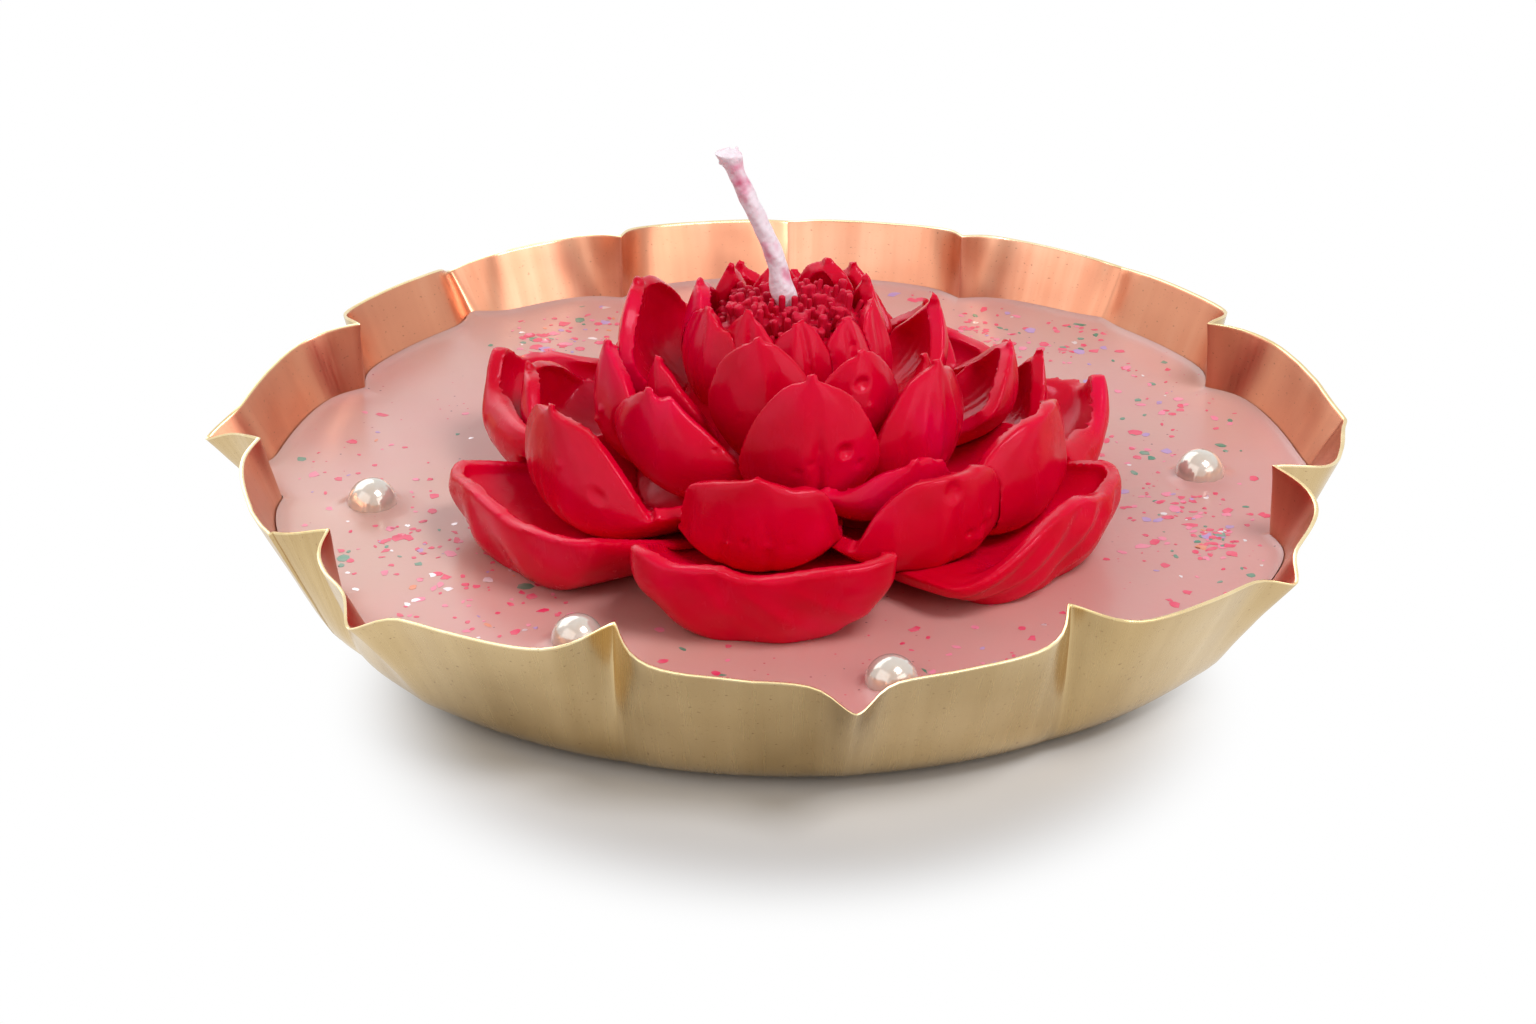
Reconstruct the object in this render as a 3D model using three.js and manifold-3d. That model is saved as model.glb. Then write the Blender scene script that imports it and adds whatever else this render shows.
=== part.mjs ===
// Lotus candle: a red wax lotus with a cotton wick, set in a pale pink wax bed inside
// a hand-formed brass tray with nine lobes, with four pearls pressed into the bed.
// Millimetres, +Z up, origin at the centre of the tray's flat foot.
import * as THREE from 'three';
import { mergeVertices } from 'three/addons/utils/BufferGeometryUtils.js';
import Module from 'manifold-3d';

const wasm = await Module();
wasm.setup();

// Fits between pieces
const clearance = 0.3;

// Tray: one sheet of brass, pressed to a flat foot and a fluted wall
const trayTipRadius = 70;
const wallFlare = 11.4;
const trayFootRadius = trayTipRadius - wallFlare;
const wallSlant = 20;
const sheet = 0.6;
const footRound = 5;
const creaseWidth = 3.2;
const tipWidth = 2.9;

// Wax bed and what is cast into it
const waxTop = 10.5;
const pearlDiameter = 6;
const pearlStandProud = 3.6;

// Lotus: it leaves a ring of bare wax inside the tray's foot, and its heart, the top of
// its core, lies lower than its tallest petals.
const bareRing = 17.1;
const flowerRadius = trayFootRadius - bareRing;
const flowerHeight = 29;
const flowerOffset = 3.5;
const heartDepth = 6.7;
const coreHeight = flowerHeight - heartDepth;
const coreFootShare = 0.506;
const coreTopShare = 0.207;
const coreFootRadius = coreFootShare * flowerRadius;
const coreTopRadius = coreTopShare * flowerRadius;
const lipThickness = 1.1;
const petalThickness = 2;
const stamenDiameter = 1.9;
const stamenHeight = 3;
const stamenBed = 1.8;

// Wick and its metal foot
const wickDiameter = 2.3;
const wickFree = 19.5;
const wickLean = 7.4;
const wickFray = 3.4;
const tabDiameter = 15;
const tabSheet = 0.4;
const tabNeckHeight = 4;
const tabNeckWall = 0.4;

// Each row is one lobe: where its tip stands and how far out it reaches, then the
// fold that ends it. Angles are degrees from +X, reaches are shares of trayTipRadius.
const lobeShares = [
  { tip: 276, tipReach: 1.013, fold: 300.5, foldReach: 0.874 },
  { tip: 325, tipReach: 1.004, fold: 343.7, foldReach: 0.857 },
  { tip: 362, tipReach: 0.980, fold: 386, foldReach: 0.859 },
  { tip: 409.5, tipReach: 0.991, fold: 427.5, foldReach: 0.88 },
  { tip: 450, tipReach: 0.989, fold: 472, foldReach: 0.868 },
  { tip: 490, tipReach: 1.02, fold: 515, foldReach: 0.87 },
  { tip: 540, tipReach: 1.02, fold: 547, foldReach: 0.92 },
  { tip: 568, tipReach: 0.965, fold: 572.7, foldReach: 0.895 },
  { tip: 586.5, tipReach: 1.01, fold: 611.8, foldReach: 0.866 },
];
const lobeSteps = 7;
const shoulderShares = { atFold: 0.95, atTip: 0.971 };

// How sharply a fold, a tip and their fading down the wall set in: powers of shares
const sharpnessShares = { fold: 1.35, tip: 1.8, fade: 1.5 };

const radians = THREE.MathUtils.degToRad;

// A closed body from a start point, rings of equal count and an end point. Each ring
// runs counter-clockwise seen from the end point's side. A sheet's rings turn back on
// themselves, and from there its facets are cut the other way, to lie as the first do.
function loft(start, rings, end, turned = rings.length) {
  const around = rings[0].length;
  const points = [start, ...rings.flat(), end];
  const last = points.length - 1;
  const index = [];
  const at = (ring, step) => 1 + ring * around + (step % around);
  for (let step = 0; step < around; step += 1) {
    index.push(0, at(0, step + 1), at(0, step));
    for (let ring = 0; ring < rings.length - 1; ring += 1) {
      const a = at(ring, step);
      const b = at(ring, step + 1);
      const c = at(ring + 1, step + 1);
      const d = at(ring + 1, step);
      if (ring < turned) index.push(a, b, c, a, c, d);
      else index.push(a, b, d, b, c, d);
    }
    index.push(last, at(rings.length - 1, step), at(rings.length - 1, step + 1));
  }
  const geometry = new THREE.BufferGeometry().setFromPoints(points);
  geometry.setIndex(index);
  return geometry;
}

// A closed body from two grids of points that lie a wall's thickness apart.
function shell(outer, inner) {
  const rows = outer.length;
  const columns = outer[0].length;
  const points = [...outer.flat(), ...inner.flat()];
  const index = [];
  const out = (row, column) => row * columns + column;
  const within = (row, column) => rows * columns + out(row, column);
  const quad = (a, b, c, d) => index.push(a, c, b, a, d, c);
  for (let row = 0; row < rows - 1; row += 1) {
    for (let column = 0; column < columns - 1; column += 1) {
      const [next, beside] = [row + 1, column + 1];
      quad(out(row, column), out(next, column), out(next, beside), out(row, beside));
      quad(within(row, column), within(row, beside), within(next, beside), within(next, column));
    }
    quad(out(row, 0), within(row, 0), within(row + 1, 0), out(row + 1, 0));
    const end = columns - 1;
    quad(out(row, end), out(row + 1, end), within(row + 1, end), within(row, end));
  }
  for (let column = 0; column < columns - 1; column += 1) {
    quad(out(0, column), out(0, column + 1), within(0, column + 1), within(0, column));
    const end = rows - 1;
    quad(out(end, column), within(end, column), within(end, column + 1), out(end, column + 1));
  }
  const geometry = new THREE.BufferGeometry().setFromPoints(points);
  geometry.setIndex(index);
  return geometry;
}

// Joins and cuts are made on solids; a piece keeps its largest body.
function solid(geometry) {
  const bare = geometry.clone();
  bare.deleteAttribute('normal');
  bare.deleteAttribute('uv');
  const merged = mergeVertices(bare);
  return new wasm.Manifold(new wasm.Mesh({
    numProp: 3,
    vertProperties: new Float32Array(merged.attributes.position.array),
    triVerts: new Uint32Array(merged.index.array),
  }));
}

function largest(shape) {
  const bodies = shape.decompose();
  return bodies.reduce((best, body) => (body.volume() > best.volume() ? body : best));
}

function geometryOf(shape) {
  const mesh = shape.getMesh();
  const geometry = new THREE.BufferGeometry();
  geometry.setAttribute('position', new THREE.BufferAttribute(mesh.vertProperties, 3));
  geometry.setIndex(new THREE.BufferAttribute(mesh.triVerts, 1));
  return geometry;
}

const lotus = new THREE.Group();

function add(name, geometry, material) {
  geometry.computeVertexNormals();
  const mesh = new THREE.Mesh(geometry, material);
  mesh.name = name;
  lotus.add(mesh);
}

function finish(color, roughness, metalness) {
  return new THREE.MeshStandardMaterial({ color, roughness, metalness, flatShading: true });
}

const brass = finish(0xb89a6c, 0.32, 1);
const pinkWax = finish(0xdcb0ad, 0.42, 0);
const redWax = finish(0xc8102e, 0.38, 0);
const nacre = finish(0xefe8df, 0.2, 0);
const cotton = finish(0xf4e3ea, 0.8, 0);
const tinnedSteel = finish(0xb9bcc0, 0.35, 1);

// Tray rim: a lobe climbs steeply out of its fold, runs along a flat shoulder and
// ends in a small drawn-out tip.
function rimPoints() {
  const rim = [];
  const falloff = (distance, width, power) => Math.exp(-((Math.abs(distance) / width) ** power));
  const shoulderSpan = shoulderShares.atTip - shoulderShares.atFold;
  lobeShares.forEach((lobe, place) => {
    const before = lobeShares[(place + lobeShares.length - 1) % lobeShares.length];
    const turn = place === 0 ? 360 : 0;
    const foldBefore = { angle: before.fold - turn, reach: before.foldReach };
    const foldAfter = { angle: lobe.fold, reach: lobe.foldReach };
    for (const [from, to] of [[foldBefore.angle, lobe.tip], [lobe.tip, foldAfter.angle]]) {
      for (let step = 0; step < lobeSteps; step += 1) {
        const share = (1 - Math.cos((Math.PI * step) / lobeSteps)) / 2;
        const angle = from + (to - from) * share;
        const fold = from === lobe.tip ? foldAfter : foldBefore;
        const foldArc = radians(angle - fold.angle) * trayTipRadius;
        const tipArc = radians(angle - lobe.tip) * trayTipRadius;
        const halfLobe = Math.abs(lobe.tip - fold.angle);
        const along = Math.abs(angle - fold.angle) / halfLobe;
        const shoulder = shoulderShares.atFold + shoulderSpan * along;
        const foldDepth = shoulderShares.atFold - fold.reach;
        const tipHeight = lobe.tipReach - shoulderShares.atTip;
        const foldDip = foldDepth * falloff(foldArc, creaseWidth, sharpnessShares.fold);
        const tipRise = tipHeight * falloff(tipArc, tipWidth, sharpnessShares.tip);
        rim.push({
          angle: radians(angle),
          shoulder: shoulder * trayTipRadius,
          detail: (tipRise - foldDip) * trayTipRadius,
        });
      }
    }
  });
  return rim;
}

const rim = rimPoints();

// One point of the tray's wall, at a share of the way up it and an inset from its outer
// face. The folds and tips fade towards the foot, and the wall's slant length stays that
// of the flat sheet.
function wallPoint(spot, share, inset) {
  const slant = wallSlant * share;
  const lean = (spot.shoulder - trayFootRadius) * share + spot.detail * share ** sharpnessShares.fade;
  const rise = Math.sqrt(slant ** 2 - Math.min(lean ** 2, slant ** 2 / 2));
  const normal = new THREE.Vector2(-rise, lean).normalize();
  const radius = trayFootRadius + lean + normal.x * inset;
  const height = rise + normal.y * inset * (1 - share);
  return { radius, height };
}

function aboutCentre(radius, angle, height) {
  return new THREE.Vector3(radius * Math.cos(angle), radius * Math.sin(angle), height);
}

function trayRing(wallShare, inset) {
  return rim.map((spot) => {
    const { radius, height } = wallPoint(spot, wallShare, inset);
    return aboutCentre(radius, spot.angle, height);
  });
}

// The round between foot and wall is a curve from the foot's flat to the wall.
const roundShare = footRound / wallSlant;
const roundSteps = 2;
const wallShares = [0.6, 1];

function roundRings(inset) {
  const rings = [];
  for (let step = 0; step < roundSteps; step += 1) {
    const t = step / roundSteps;
    rings.push(rim.map((spot) => {
      const top = wallPoint(spot, roundShare, inset);
      const radius = (1 - t) ** 2 * (trayFootRadius - footRound)
        + 2 * t * (1 - t) * (trayFootRadius - inset) + t ** 2 * top.radius;
      const height = (1 - t ** 2) * inset + t ** 2 * top.height;
      return aboutCentre(radius, spot.angle, height);
    }));
  }
  rings.push(trayRing(roundShare, inset));
  return rings;
}

function traySheet() {
  const outer = [...roundRings(0), ...wallShares.map((share) => trayRing(share, 0))];
  const inner = [...roundRings(sheet), ...wallShares.map((share) => trayRing(share, sheet))];
  const rings = [...outer, ...inner.reverse()];
  return loft(new THREE.Vector3(0, 0, 0), rings, new THREE.Vector3(0, 0, sheet), outer.length);
}

// A slab wider than the tray, to cut what it covers
function slab(bottom, top) {
  const side = 3 * trayTipRadius;
  const geometry = new THREE.BoxGeometry(side, side, top - bottom);
  geometry.translate(0, 0, (bottom + top) / 2);
  return solid(geometry);
}

// Wax bed: poured into the tray, so it follows the wall from inside, and level on top
const bedInset = sheet + clearance;

function waxPour() {
  const rings = [...roundRings(bedInset), ...wallShares.map((share) => trayRing(share, bedInset))];
  const brimful = loft(new THREE.Vector3(0, 0, bedInset), rings, new THREE.Vector3(0, 0, wallSlant));
  return solid(brimful).subtract(slab(waxTop, waxTop + wallSlant));
}

// Pearls: where each stands in the ring of bare wax, as an angle and a share of the way
// across the ring
const pearlPlaces = [
  { name: 'pearl_left', angle: 190, acrossShare: 0.575 },
  { name: 'pearl_front_left', angle: 242, acrossShare: 0.52 },
  { name: 'pearl_front', angle: 282, acrossShare: 0.965 },
  { name: 'pearl_right', angle: 360, acrossShare: 0.54 },
];
const pearlFacets = { around: 12, down: 7 };

function pearl(place, grow) {
  const radius = pearlDiameter / 2 + grow;
  const reach = flowerRadius + pearlDiameter / 2 + (bareRing - pearlDiameter) * place.acrossShare;
  const geometry = new THREE.SphereGeometry(radius, pearlFacets.around, pearlFacets.down);
  geometry.rotateX(Math.PI / 2);
  const height = waxTop + pearlStandProud - pearlDiameter / 2;
  geometry.translate(...aboutCentre(reach, radians(place.angle), height));
  return geometry;
}

// Wick: straight down through the flower, then free above it, leaning to the left with
// a slight bend, and frayed at its end.
const heartTop = waxTop + clearance + coreHeight + clearance + stamenBed;
const tabTop = bedInset + tabSheet;
const wickSides = 10;
const bendShares = { height: 0.32, lean: 0.22, frayStart: 0.86 };

function wick(grow) {
  const foot = tabTop + clearance;
  const bend = { x: -wickLean * bendShares.lean, z: heartTop + wickFree * bendShares.height };
  const fray = { x: -wickLean * bendShares.frayStart, z: heartTop + wickFree * bendShares.frayStart };
  const stations = [
    { x: 0, z: foot, width: wickDiameter },
    { x: 0, z: heartTop, width: wickDiameter },
    { ...bend, width: wickDiameter },
    { ...fray, width: wickDiameter },
    { x: -wickLean, z: heartTop + wickFree, width: wickFray },
  ];
  const rings = stations.map(({ x, z, width }, place) => {
    const next = stations[Math.min(place + 1, stations.length - 1)];
    const last = stations[Math.max(place - 1, 0)];
    const along = new THREE.Vector2(next.x - last.x, next.z - last.z).normalize();
    const radius = width / 2 + grow;
    return Array.from({ length: wickSides }, (_, side) => {
      const turn = (2 * Math.PI * side) / wickSides;
      const across = radius * Math.cos(turn);
      const y = radius * Math.sin(turn) - flowerOffset;
      return new THREE.Vector3(x + across * along.y, y, z - across * along.x);
    });
  });
  const [bottom, top] = [stations[0], stations[stations.length - 1]];
  const start = new THREE.Vector3(bottom.x, -flowerOffset, bottom.z - grow);
  return loft(start, rings, new THREE.Vector3(top.x, -flowerOffset, top.z + grow));
}

// Sustainer: the tin disc under the wick, with a neck that is crimped round it
const sustainerSides = 16;

function sustainer(grow) {
  const bore = wickDiameter / 2 + clearance - grow;
  const neck = wickDiameter / 2 + clearance + tabNeckWall + grow;
  const rimRadius = tabDiameter / 2 + grow;
  const bottom = bedInset - grow;
  const neckTop = tabTop + tabNeckHeight + grow;
  const profile = [
    new THREE.Vector2(bore, bottom),
    new THREE.Vector2(rimRadius, bottom),
    new THREE.Vector2(rimRadius, tabTop + grow),
    new THREE.Vector2(neck, tabTop + grow),
    new THREE.Vector2(neck, neckTop),
    new THREE.Vector2(bore, neckTop),
    new THREE.Vector2(bore, bottom),
  ];
  const geometry = new THREE.LatheGeometry(profile, sustainerSides);
  geometry.rotateX(Math.PI / 2);
  geometry.translate(0, -flowerOffset, 0);
  return geometry;
}

// Core: the mound of wax under the petals, as shares of its foot radius and height
const coreShares = [
  { reach: 1, rise: 0 },
  { reach: 0.98, rise: 0.12 },
  { reach: 0.8, rise: 0.3 },
  { reach: 0.62, rise: 0.5 },
  { reach: 0.5, rise: 0.75 },
];
const coreSides = 24;
const flowerBase = waxTop + clearance;

function atFlower(geometry) {
  geometry.rotateX(Math.PI / 2);
  geometry.translate(0, -flowerOffset, flowerBase);
  return geometry;
}

function core(grow) {
  const profile = coreShares.map(({ reach, rise }) => (
    new THREE.Vector2(reach * coreFootRadius + grow, rise * coreHeight - (rise === 0 ? grow : 0))
  ));
  const top = coreHeight + grow;
  profile.push(new THREE.Vector2(coreTopRadius + grow, top), new THREE.Vector2(0, top));
  return atFlower(new THREE.LatheGeometry([new THREE.Vector2(0, -grow), ...profile], coreSides));
}

// Stamens: rings of short nubs on a low bed, round the wick
const stamenRingShares = [{ reach: 0.42, count: 6 }, { reach: 0.78, count: 12 }];
const stamenBedSides = 20;

function stamenCluster(grow) {
  const reach = coreTopRadius - lipThickness;
  const bottom = coreHeight + clearance;
  const bed = new THREE.LatheGeometry([
    new THREE.Vector2(0, bottom - grow),
    new THREE.Vector2(reach + grow, bottom - grow),
    new THREE.Vector2(reach + grow, bottom + stamenBed / 2 + grow),
    new THREE.Vector2(reach / 2, bottom + stamenBed + grow),
    new THREE.Vector2(0, bottom + stamenBed + grow),
  ], stamenBedSides);
  let cluster = solid(atFlower(bed));
  stamenRingShares.forEach((ring, place) => {
    for (let nub = 0; nub < ring.count; nub += 1) {
      const turn = (2 * Math.PI * (nub + place / 2)) / ring.count;
      const head = new THREE.OctahedronGeometry(1, 0);
      head.scale(stamenDiameter / 2 + grow, stamenDiameter / 2 + grow, stamenHeight / 2 + grow);
      const out = ring.reach * reach;
      const height = flowerBase + bottom + stamenBed;
      head.translate(out * Math.cos(turn), out * Math.sin(turn) - flowerOffset, height);
      cluster = cluster.add(solid(head));
    }
  });
  return cluster;
}

// Petals. A petal follows a spine that leaves the core and curls up to its tip, and is
// cupped across it. A ring says where its spines start and how they leave and arrive
// (degrees above level), how deep the cup is (degrees of arc either side), where the
// petal is widest and how wide its root is. A petal says where it points (degrees from
// +X), how far its tip is drawn sideways, reaches and stands, its half width and how
// pointed it is.
const ringShares = {
  bud: {
    root: 0.24, start: 0.36, leave: 55, arrive: 112, pull: 0.45, lift: 0.45,
    cup: 60, cupTip: 50, widest: 0.5, rootWidth: 0.75,
  },
  fourth: {
    root: 0.26, start: 0.24, leave: 30, arrive: 108, pull: 0.5, lift: 0.5,
    cup: 62, cupTip: 50, widest: 0.55, rootWidth: 0.6,
  },
  third: {
    root: 0.33, start: 0.13, leave: 12, arrive: 106, pull: 0.6, lift: 0.5,
    cup: 62, cupTip: 46, widest: 0.6, rootWidth: 0.6,
  },
  second: {
    root: 0.38, start: 0.03, leave: 0, arrive: 96, pull: 0.82, lift: 0.5,
    cup: 64, cupTip: 40, widest: 0.62, rootWidth: 0.6,
  },
};

const petalShares = {
  bud: [
    { at: 277, skew: 0, reach: 0.24, height: 0.88, width: 0.105, point: 0.6 },
    { at: 242, skew: 0, reach: 0.235, height: 0.9, width: 0.115, point: 0.6 },
    { at: 313, skew: 0, reach: 0.24, height: 0.88, width: 0.12, point: 0.6 },
    { at: 208, skew: 0, reach: 0.27, height: 0.88, width: 0.16, point: 0.45 },
    { at: 345, skew: 0, reach: 0.25, height: 0.9, width: 0.13, point: 0.5 },
    { at: 172, skew: 0, reach: 0.26, height: 0.93, width: 0.15, point: 0.4 },
    { at: 22, skew: 0, reach: 0.25, height: 0.9, width: 0.13, point: 0.5 },
    { at: 60, skew: 0, reach: 0.23, height: 0.93, width: 0.13, point: 0.4 },
    { at: 98, skew: 0, reach: 0.24, height: 0.9, width: 0.11, point: 0.6 },
    { at: 135, skew: 0, reach: 0.24, height: 0.91, width: 0.11, point: 0.6 },
  ],
  fourth: [
    { at: 260, skew: -0.02, reach: 0.385, height: 0.9, width: 0.155, point: 0.5 },
    { at: 301, skew: 0, reach: 0.4, height: 0.83, width: 0.145, point: 0.5 },
    { at: 215, skew: -0.03, reach: 0.43, height: 0.74, width: 0.13, point: 0.7 },
    { at: 160, skew: 0.03, reach: 0.46, height: 0.88, width: 0.24, point: 0.4 },
    { at: 20, skew: 0, reach: 0.46, height: 0.78, width: 0.17, point: 0.7 },
    { at: 64, skew: 0, reach: 0.44, height: 0.8, width: 0.16, point: 0.7 },
    { at: 110, skew: 0, reach: 0.42, height: 0.8, width: 0.17, point: 0.7 },
    { at: 340, skew: 0, reach: 0.42, height: 0.7, width: 0.12, point: 0.8 },
  ],
  third: [
    { at: 277, skew: 0, reach: 0.55, height: 0.85, width: 0.2, point: 0.5 },
    { at: 231, skew: -0.05, reach: 0.56, height: 0.71, width: 0.23, point: 0.6 },
    { at: 318, skew: 0.04, reach: 0.53, height: 0.79, width: 0.2, point: 0.6 },
    { at: 190, skew: -0.03, reach: 0.53, height: 0.72, width: 0.18, point: 0.5 },
    { at: 4, skew: 0, reach: 0.65, height: 0.65, width: 0.2, point: 0.55 },
    { at: 46, skew: 0, reach: 0.6, height: 0.6, width: 0.18, point: 0.7 },
    { at: 88, skew: 0, reach: 0.56, height: 0.66, width: 0.18, point: 0.6 },
    { at: 135, skew: 0, reach: 0.56, height: 0.64, width: 0.18, point: 0.6 },
    { at: 294, skew: 0.08, reach: 0.68, height: 0.52, width: 0.2, point: 0.4 },
  ],
  second: [
    { at: 263, skew: 0, reach: 0.74, height: 0.49, width: 0.235, point: 0.12 },
    { at: 298, skew: 0, reach: 0.83, height: 0.5, width: 0.29, point: 0.15 },
    { at: 217, skew: -0.11, reach: 0.76, height: 0.62, width: 0.28, point: 0.6 },
    { at: 331, skew: 0.05, reach: 0.82, height: 0.58, width: 0.3, point: 0.4 },
    { at: 16, skew: 0, reach: 0.78, height: 0.5, width: 0.17, point: 0.6 },
    { at: 168, skew: 0, reach: 0.79, height: 0.47, width: 0.26, point: 0.45 },
    { at: 38, skew: -0.05, reach: 0.8, height: 0.4, width: 0.17, point: 0.7 },
    { at: 76, skew: 0, reach: 0.78, height: 0.48, width: 0.24, point: 0.5 },
    { at: 122, skew: 0, reach: 0.76, height: 0.5, width: 0.24, point: 0.5 },
  ],
};

// The outer ring's petals are boats with a level rim: bowls that open towards the core
// and are pressed flat on the wax. A boat says where it points, how far its tip is drawn
// sideways and reaches, how high its rim is, its half width, how long its rounded bow is
// and how much its rim rises there. Their common form is where they start, how wide and
// high they are at that root, how far their keel lies under the wax's face before it is
// pressed flat, how far their walls sweep round (degrees) and how squat that leaves them.
const boatShares = [
  { at: 266, skew: 0, reach: 1.04, height: 0.34, width: 0.355, bow: 0.13, peak: -0.08 },
  { at: 214, skew: 0, reach: 1, height: 0.29, width: 0.365, bow: 0.12, peak: 0 },
  { at: 321, skew: 0, reach: 1.01, height: 0.3, width: 0.385, bow: 0.15, peak: 0.1 },
  { at: 168, skew: -0.13, reach: 0.92, height: 0.33, width: 0.29, bow: 0.28, peak: 0.35 },
  { at: 1, skew: 0.16, reach: 0.93, height: 0.3, width: 0.28, bow: 0.28, peak: 0.35 },
  { at: 60, skew: 0, reach: 0.9, height: 0.25, width: 0.32, bow: 0.2, peak: 0.15 },
  { at: 108, skew: 0, reach: 0.9, height: 0.25, width: 0.32, bow: 0.2, peak: 0.15 },
];
const boatFormShares = {
  root: 0.42, rootWidth: 0.75, rootRim: 0.45, keel: 0.08, sweep: 96, squat: 1.05, tipSpread: 0.35,
};

// A cup's wall is at most this share of the cup's radius
const deepestShare = 0.9;

const stepsAcross = { bud: 4, fourth: 4, third: 6, second: 6 };
const stepsAlong = { bud: 4, fourth: 5, third: 6, second: 6 };
const boatSteps = { across: 8, along: 6 };

// Even steps from one edge, -1, to the other, +1
function evenly(steps) {
  return Array.from({ length: steps + 1 }, (_, step) => (2 * step) / steps - 1);
}

function spine(ring, place) {
  const root = new THREE.Vector2(ring.root * flowerRadius, ring.start * flowerHeight);
  const tip = new THREE.Vector2(place.reach * flowerRadius, place.height * flowerHeight);
  const span = root.distanceTo(tip);
  const ahead = (angle, length) => (
    new THREE.Vector2(Math.cos(radians(angle)), Math.sin(radians(angle))).multiplyScalar(length)
  );
  const leaving = root.clone().add(ahead(ring.leave, span * ring.pull));
  const arriving = tip.clone().sub(ahead(ring.arrive, span * ring.lift));
  return new THREE.CubicBezierCurve(root, leaving, arriving, tip);
}

function halfWidth(ring, place, along) {
  const full = place.width * flowerRadius;
  if (along < ring.widest) {
    const swell = Math.sin((Math.PI / 2) * (along / ring.widest));
    return full * (ring.rootWidth + (1 - ring.rootWidth) * swell);
  }
  const toTip = (along - ring.widest) / (1 - ring.widest);
  const taper = Math.max(Math.cos((Math.PI / 2) * toTip), 0) ** place.point;
  return Math.max(full * taper, lipThickness / 2);
}

// A point of the flower, out along a bearing, sideways from it and up from its base
function atBearing(at, out, sideways, up) {
  const bearing = radians(at);
  return new THREE.Vector3(
    out * Math.cos(bearing) - sideways * Math.sin(bearing),
    out * Math.sin(bearing) + sideways * Math.cos(bearing) - flowerOffset,
    flowerBase + up,
  );
}

function petal(ringName, place, grow) {
  const ring = ringShares[ringName];
  const curve = spine(ring, place);
  const across = stepsAcross[ringName];
  const along = stepsAlong[ringName];
  const outer = [];
  const inner = [];
  for (let j = 0; j <= along; j += 1) {
    const v = Math.sin((Math.PI / 2) * (j / along));
    const centre = curve.getPoint(v);
    const tangent = curve.getTangent(v);
    if (j === 0) centre.addScaledVector(tangent, -grow);
    if (j === along) centre.addScaledVector(tangent, grow);
    const inward = new THREE.Vector2(-tangent.y, tangent.x);
    const drift = place.skew * flowerRadius * v ** 2;
    const arc = radians(ring.cup + (ring.cupTip - ring.cup) * v);
    const radius = halfWidth(ring, place, v) / Math.sin(arc);
    const spread = arc * (1 + grow / (radius * arc));
    const face = (u, depth) => {
      const lift = radius - (radius - depth) * Math.cos(u * spread);
      const sideways = (radius - depth) * Math.sin(u * spread) + drift;
      return atBearing(place.at, centre.x + inward.x * lift, sideways, centre.y + inward.y * lift);
    };
    const swell = (petalThickness - lipThickness) * (1 - v ** 3);
    const wall = (u) => Math.min(lipThickness + swell * (1 - u * u), radius * deepestShare);
    outer.push(evenly(across).map((u) => face(u, -grow)));
    inner.push(evenly(across).map((u) => face(u, wall(u) + grow)));
  }
  return shell(outer, inner);
}

function boat(place, grow) {
  const sweep = radians(boatFormShares.sweep);
  const bow = place.bow * flowerRadius;
  const centre = place.reach * flowerRadius - bow;
  const stern = boatFormShares.root * flowerRadius - centre;
  const face = (u, v, inset) => {
    const ahead = Math.max(v, 0);
    const x = u * Math.sqrt(1 - ahead ** 2 / 2);
    const y = ahead * Math.sqrt(1 - u ** 2 / 2);
    const rho = Math.hypot(x, y);
    const push = rho > 0 ? Math.sin(rho * sweep) / Math.sin(sweep) / rho : 0;
    const rise = ((1 - Math.cos(rho * sweep)) / (1 - Math.cos(sweep))) ** boatFormShares.squat;
    const narrow = 1 - (1 - boatFormShares.rootWidth) * Math.min(v, 0) ** 2;
    const fall = 1 - (1 - boatFormShares.rootRim) * Math.max(-v, 0);
    const peak = place.peak * Math.exp(-((x / boatFormShares.tipSpread) ** 2)) * y ** 3;
    const floor = inset > 0 ? inset : inset - boatFormShares.keel * flowerHeight;
    const rim = place.height * flowerHeight * (fall + peak) + grow;
    const out = v < 0 ? centre + (stern - grow) * -v : centre + (bow - inset) * y * push;
    const drift = place.skew * flowerRadius * ahead ** 2;
    const sideways = (place.width * flowerRadius * narrow - inset) * x * push + drift;
    const up = floor + (rim - floor) * rise;
    return atBearing(place.at, out, sideways, up);
  };
  const swell = petalThickness - lipThickness;
  const wall = (u, v) => lipThickness + swell * (1 - u * u) * (1 - Math.max(v, 0) ** 2);
  const grid = (depth) => evenly(boatSteps.along).map((v) => (
    evenly(boatSteps.across).map((u) => face(u, v, depth(u, v)))
  ));
  return shell(grid(() => -grow), grid((u, v) => wall(u, v) + grow));
}

// The flower is built from its middle outwards, and each petal is trimmed to the core
// and to the petals that it leans on. The outer petals end flat on the wax bed.
function flowerPieces() {
  const inner = [solid(core(clearance)), stamenCluster(clearance), wickHole, slab(0, flowerBase)];
  const pieces = [];
  const fit = (name, form) => {
    let shape = solid(form(0));
    for (const other of inner) {
      if (overlap(shape, other)) shape = shape.subtract(other);
    }
    pieces.push({ name, shape: largest(shape) });
    inner.push(solid(form(clearance)));
  };
  for (const [ringName, places] of Object.entries(petalShares)) {
    places.forEach((place, number) => {
      fit(`${ringName}_petal_${number + 1}`, (grow) => petal(ringName, place, grow));
    });
  }
  boatShares.forEach((place, number) => fit(`outer_petal_${number + 1}`, (grow) => boat(place, grow)));
  return pieces;
}

function overlap(one, other) {
  const a = one.boundingBox();
  const b = other.boundingBox();
  return [0, 1, 2].every((axis) => a.min[axis] < b.max[axis] && b.min[axis] < a.max[axis]);
}

const wickHole = solid(wick(clearance));
let bed = waxPour().subtract(wickHole).subtract(solid(sustainer(clearance)));
for (const place of pearlPlaces) bed = bed.subtract(solid(pearl(place, clearance)));

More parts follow.
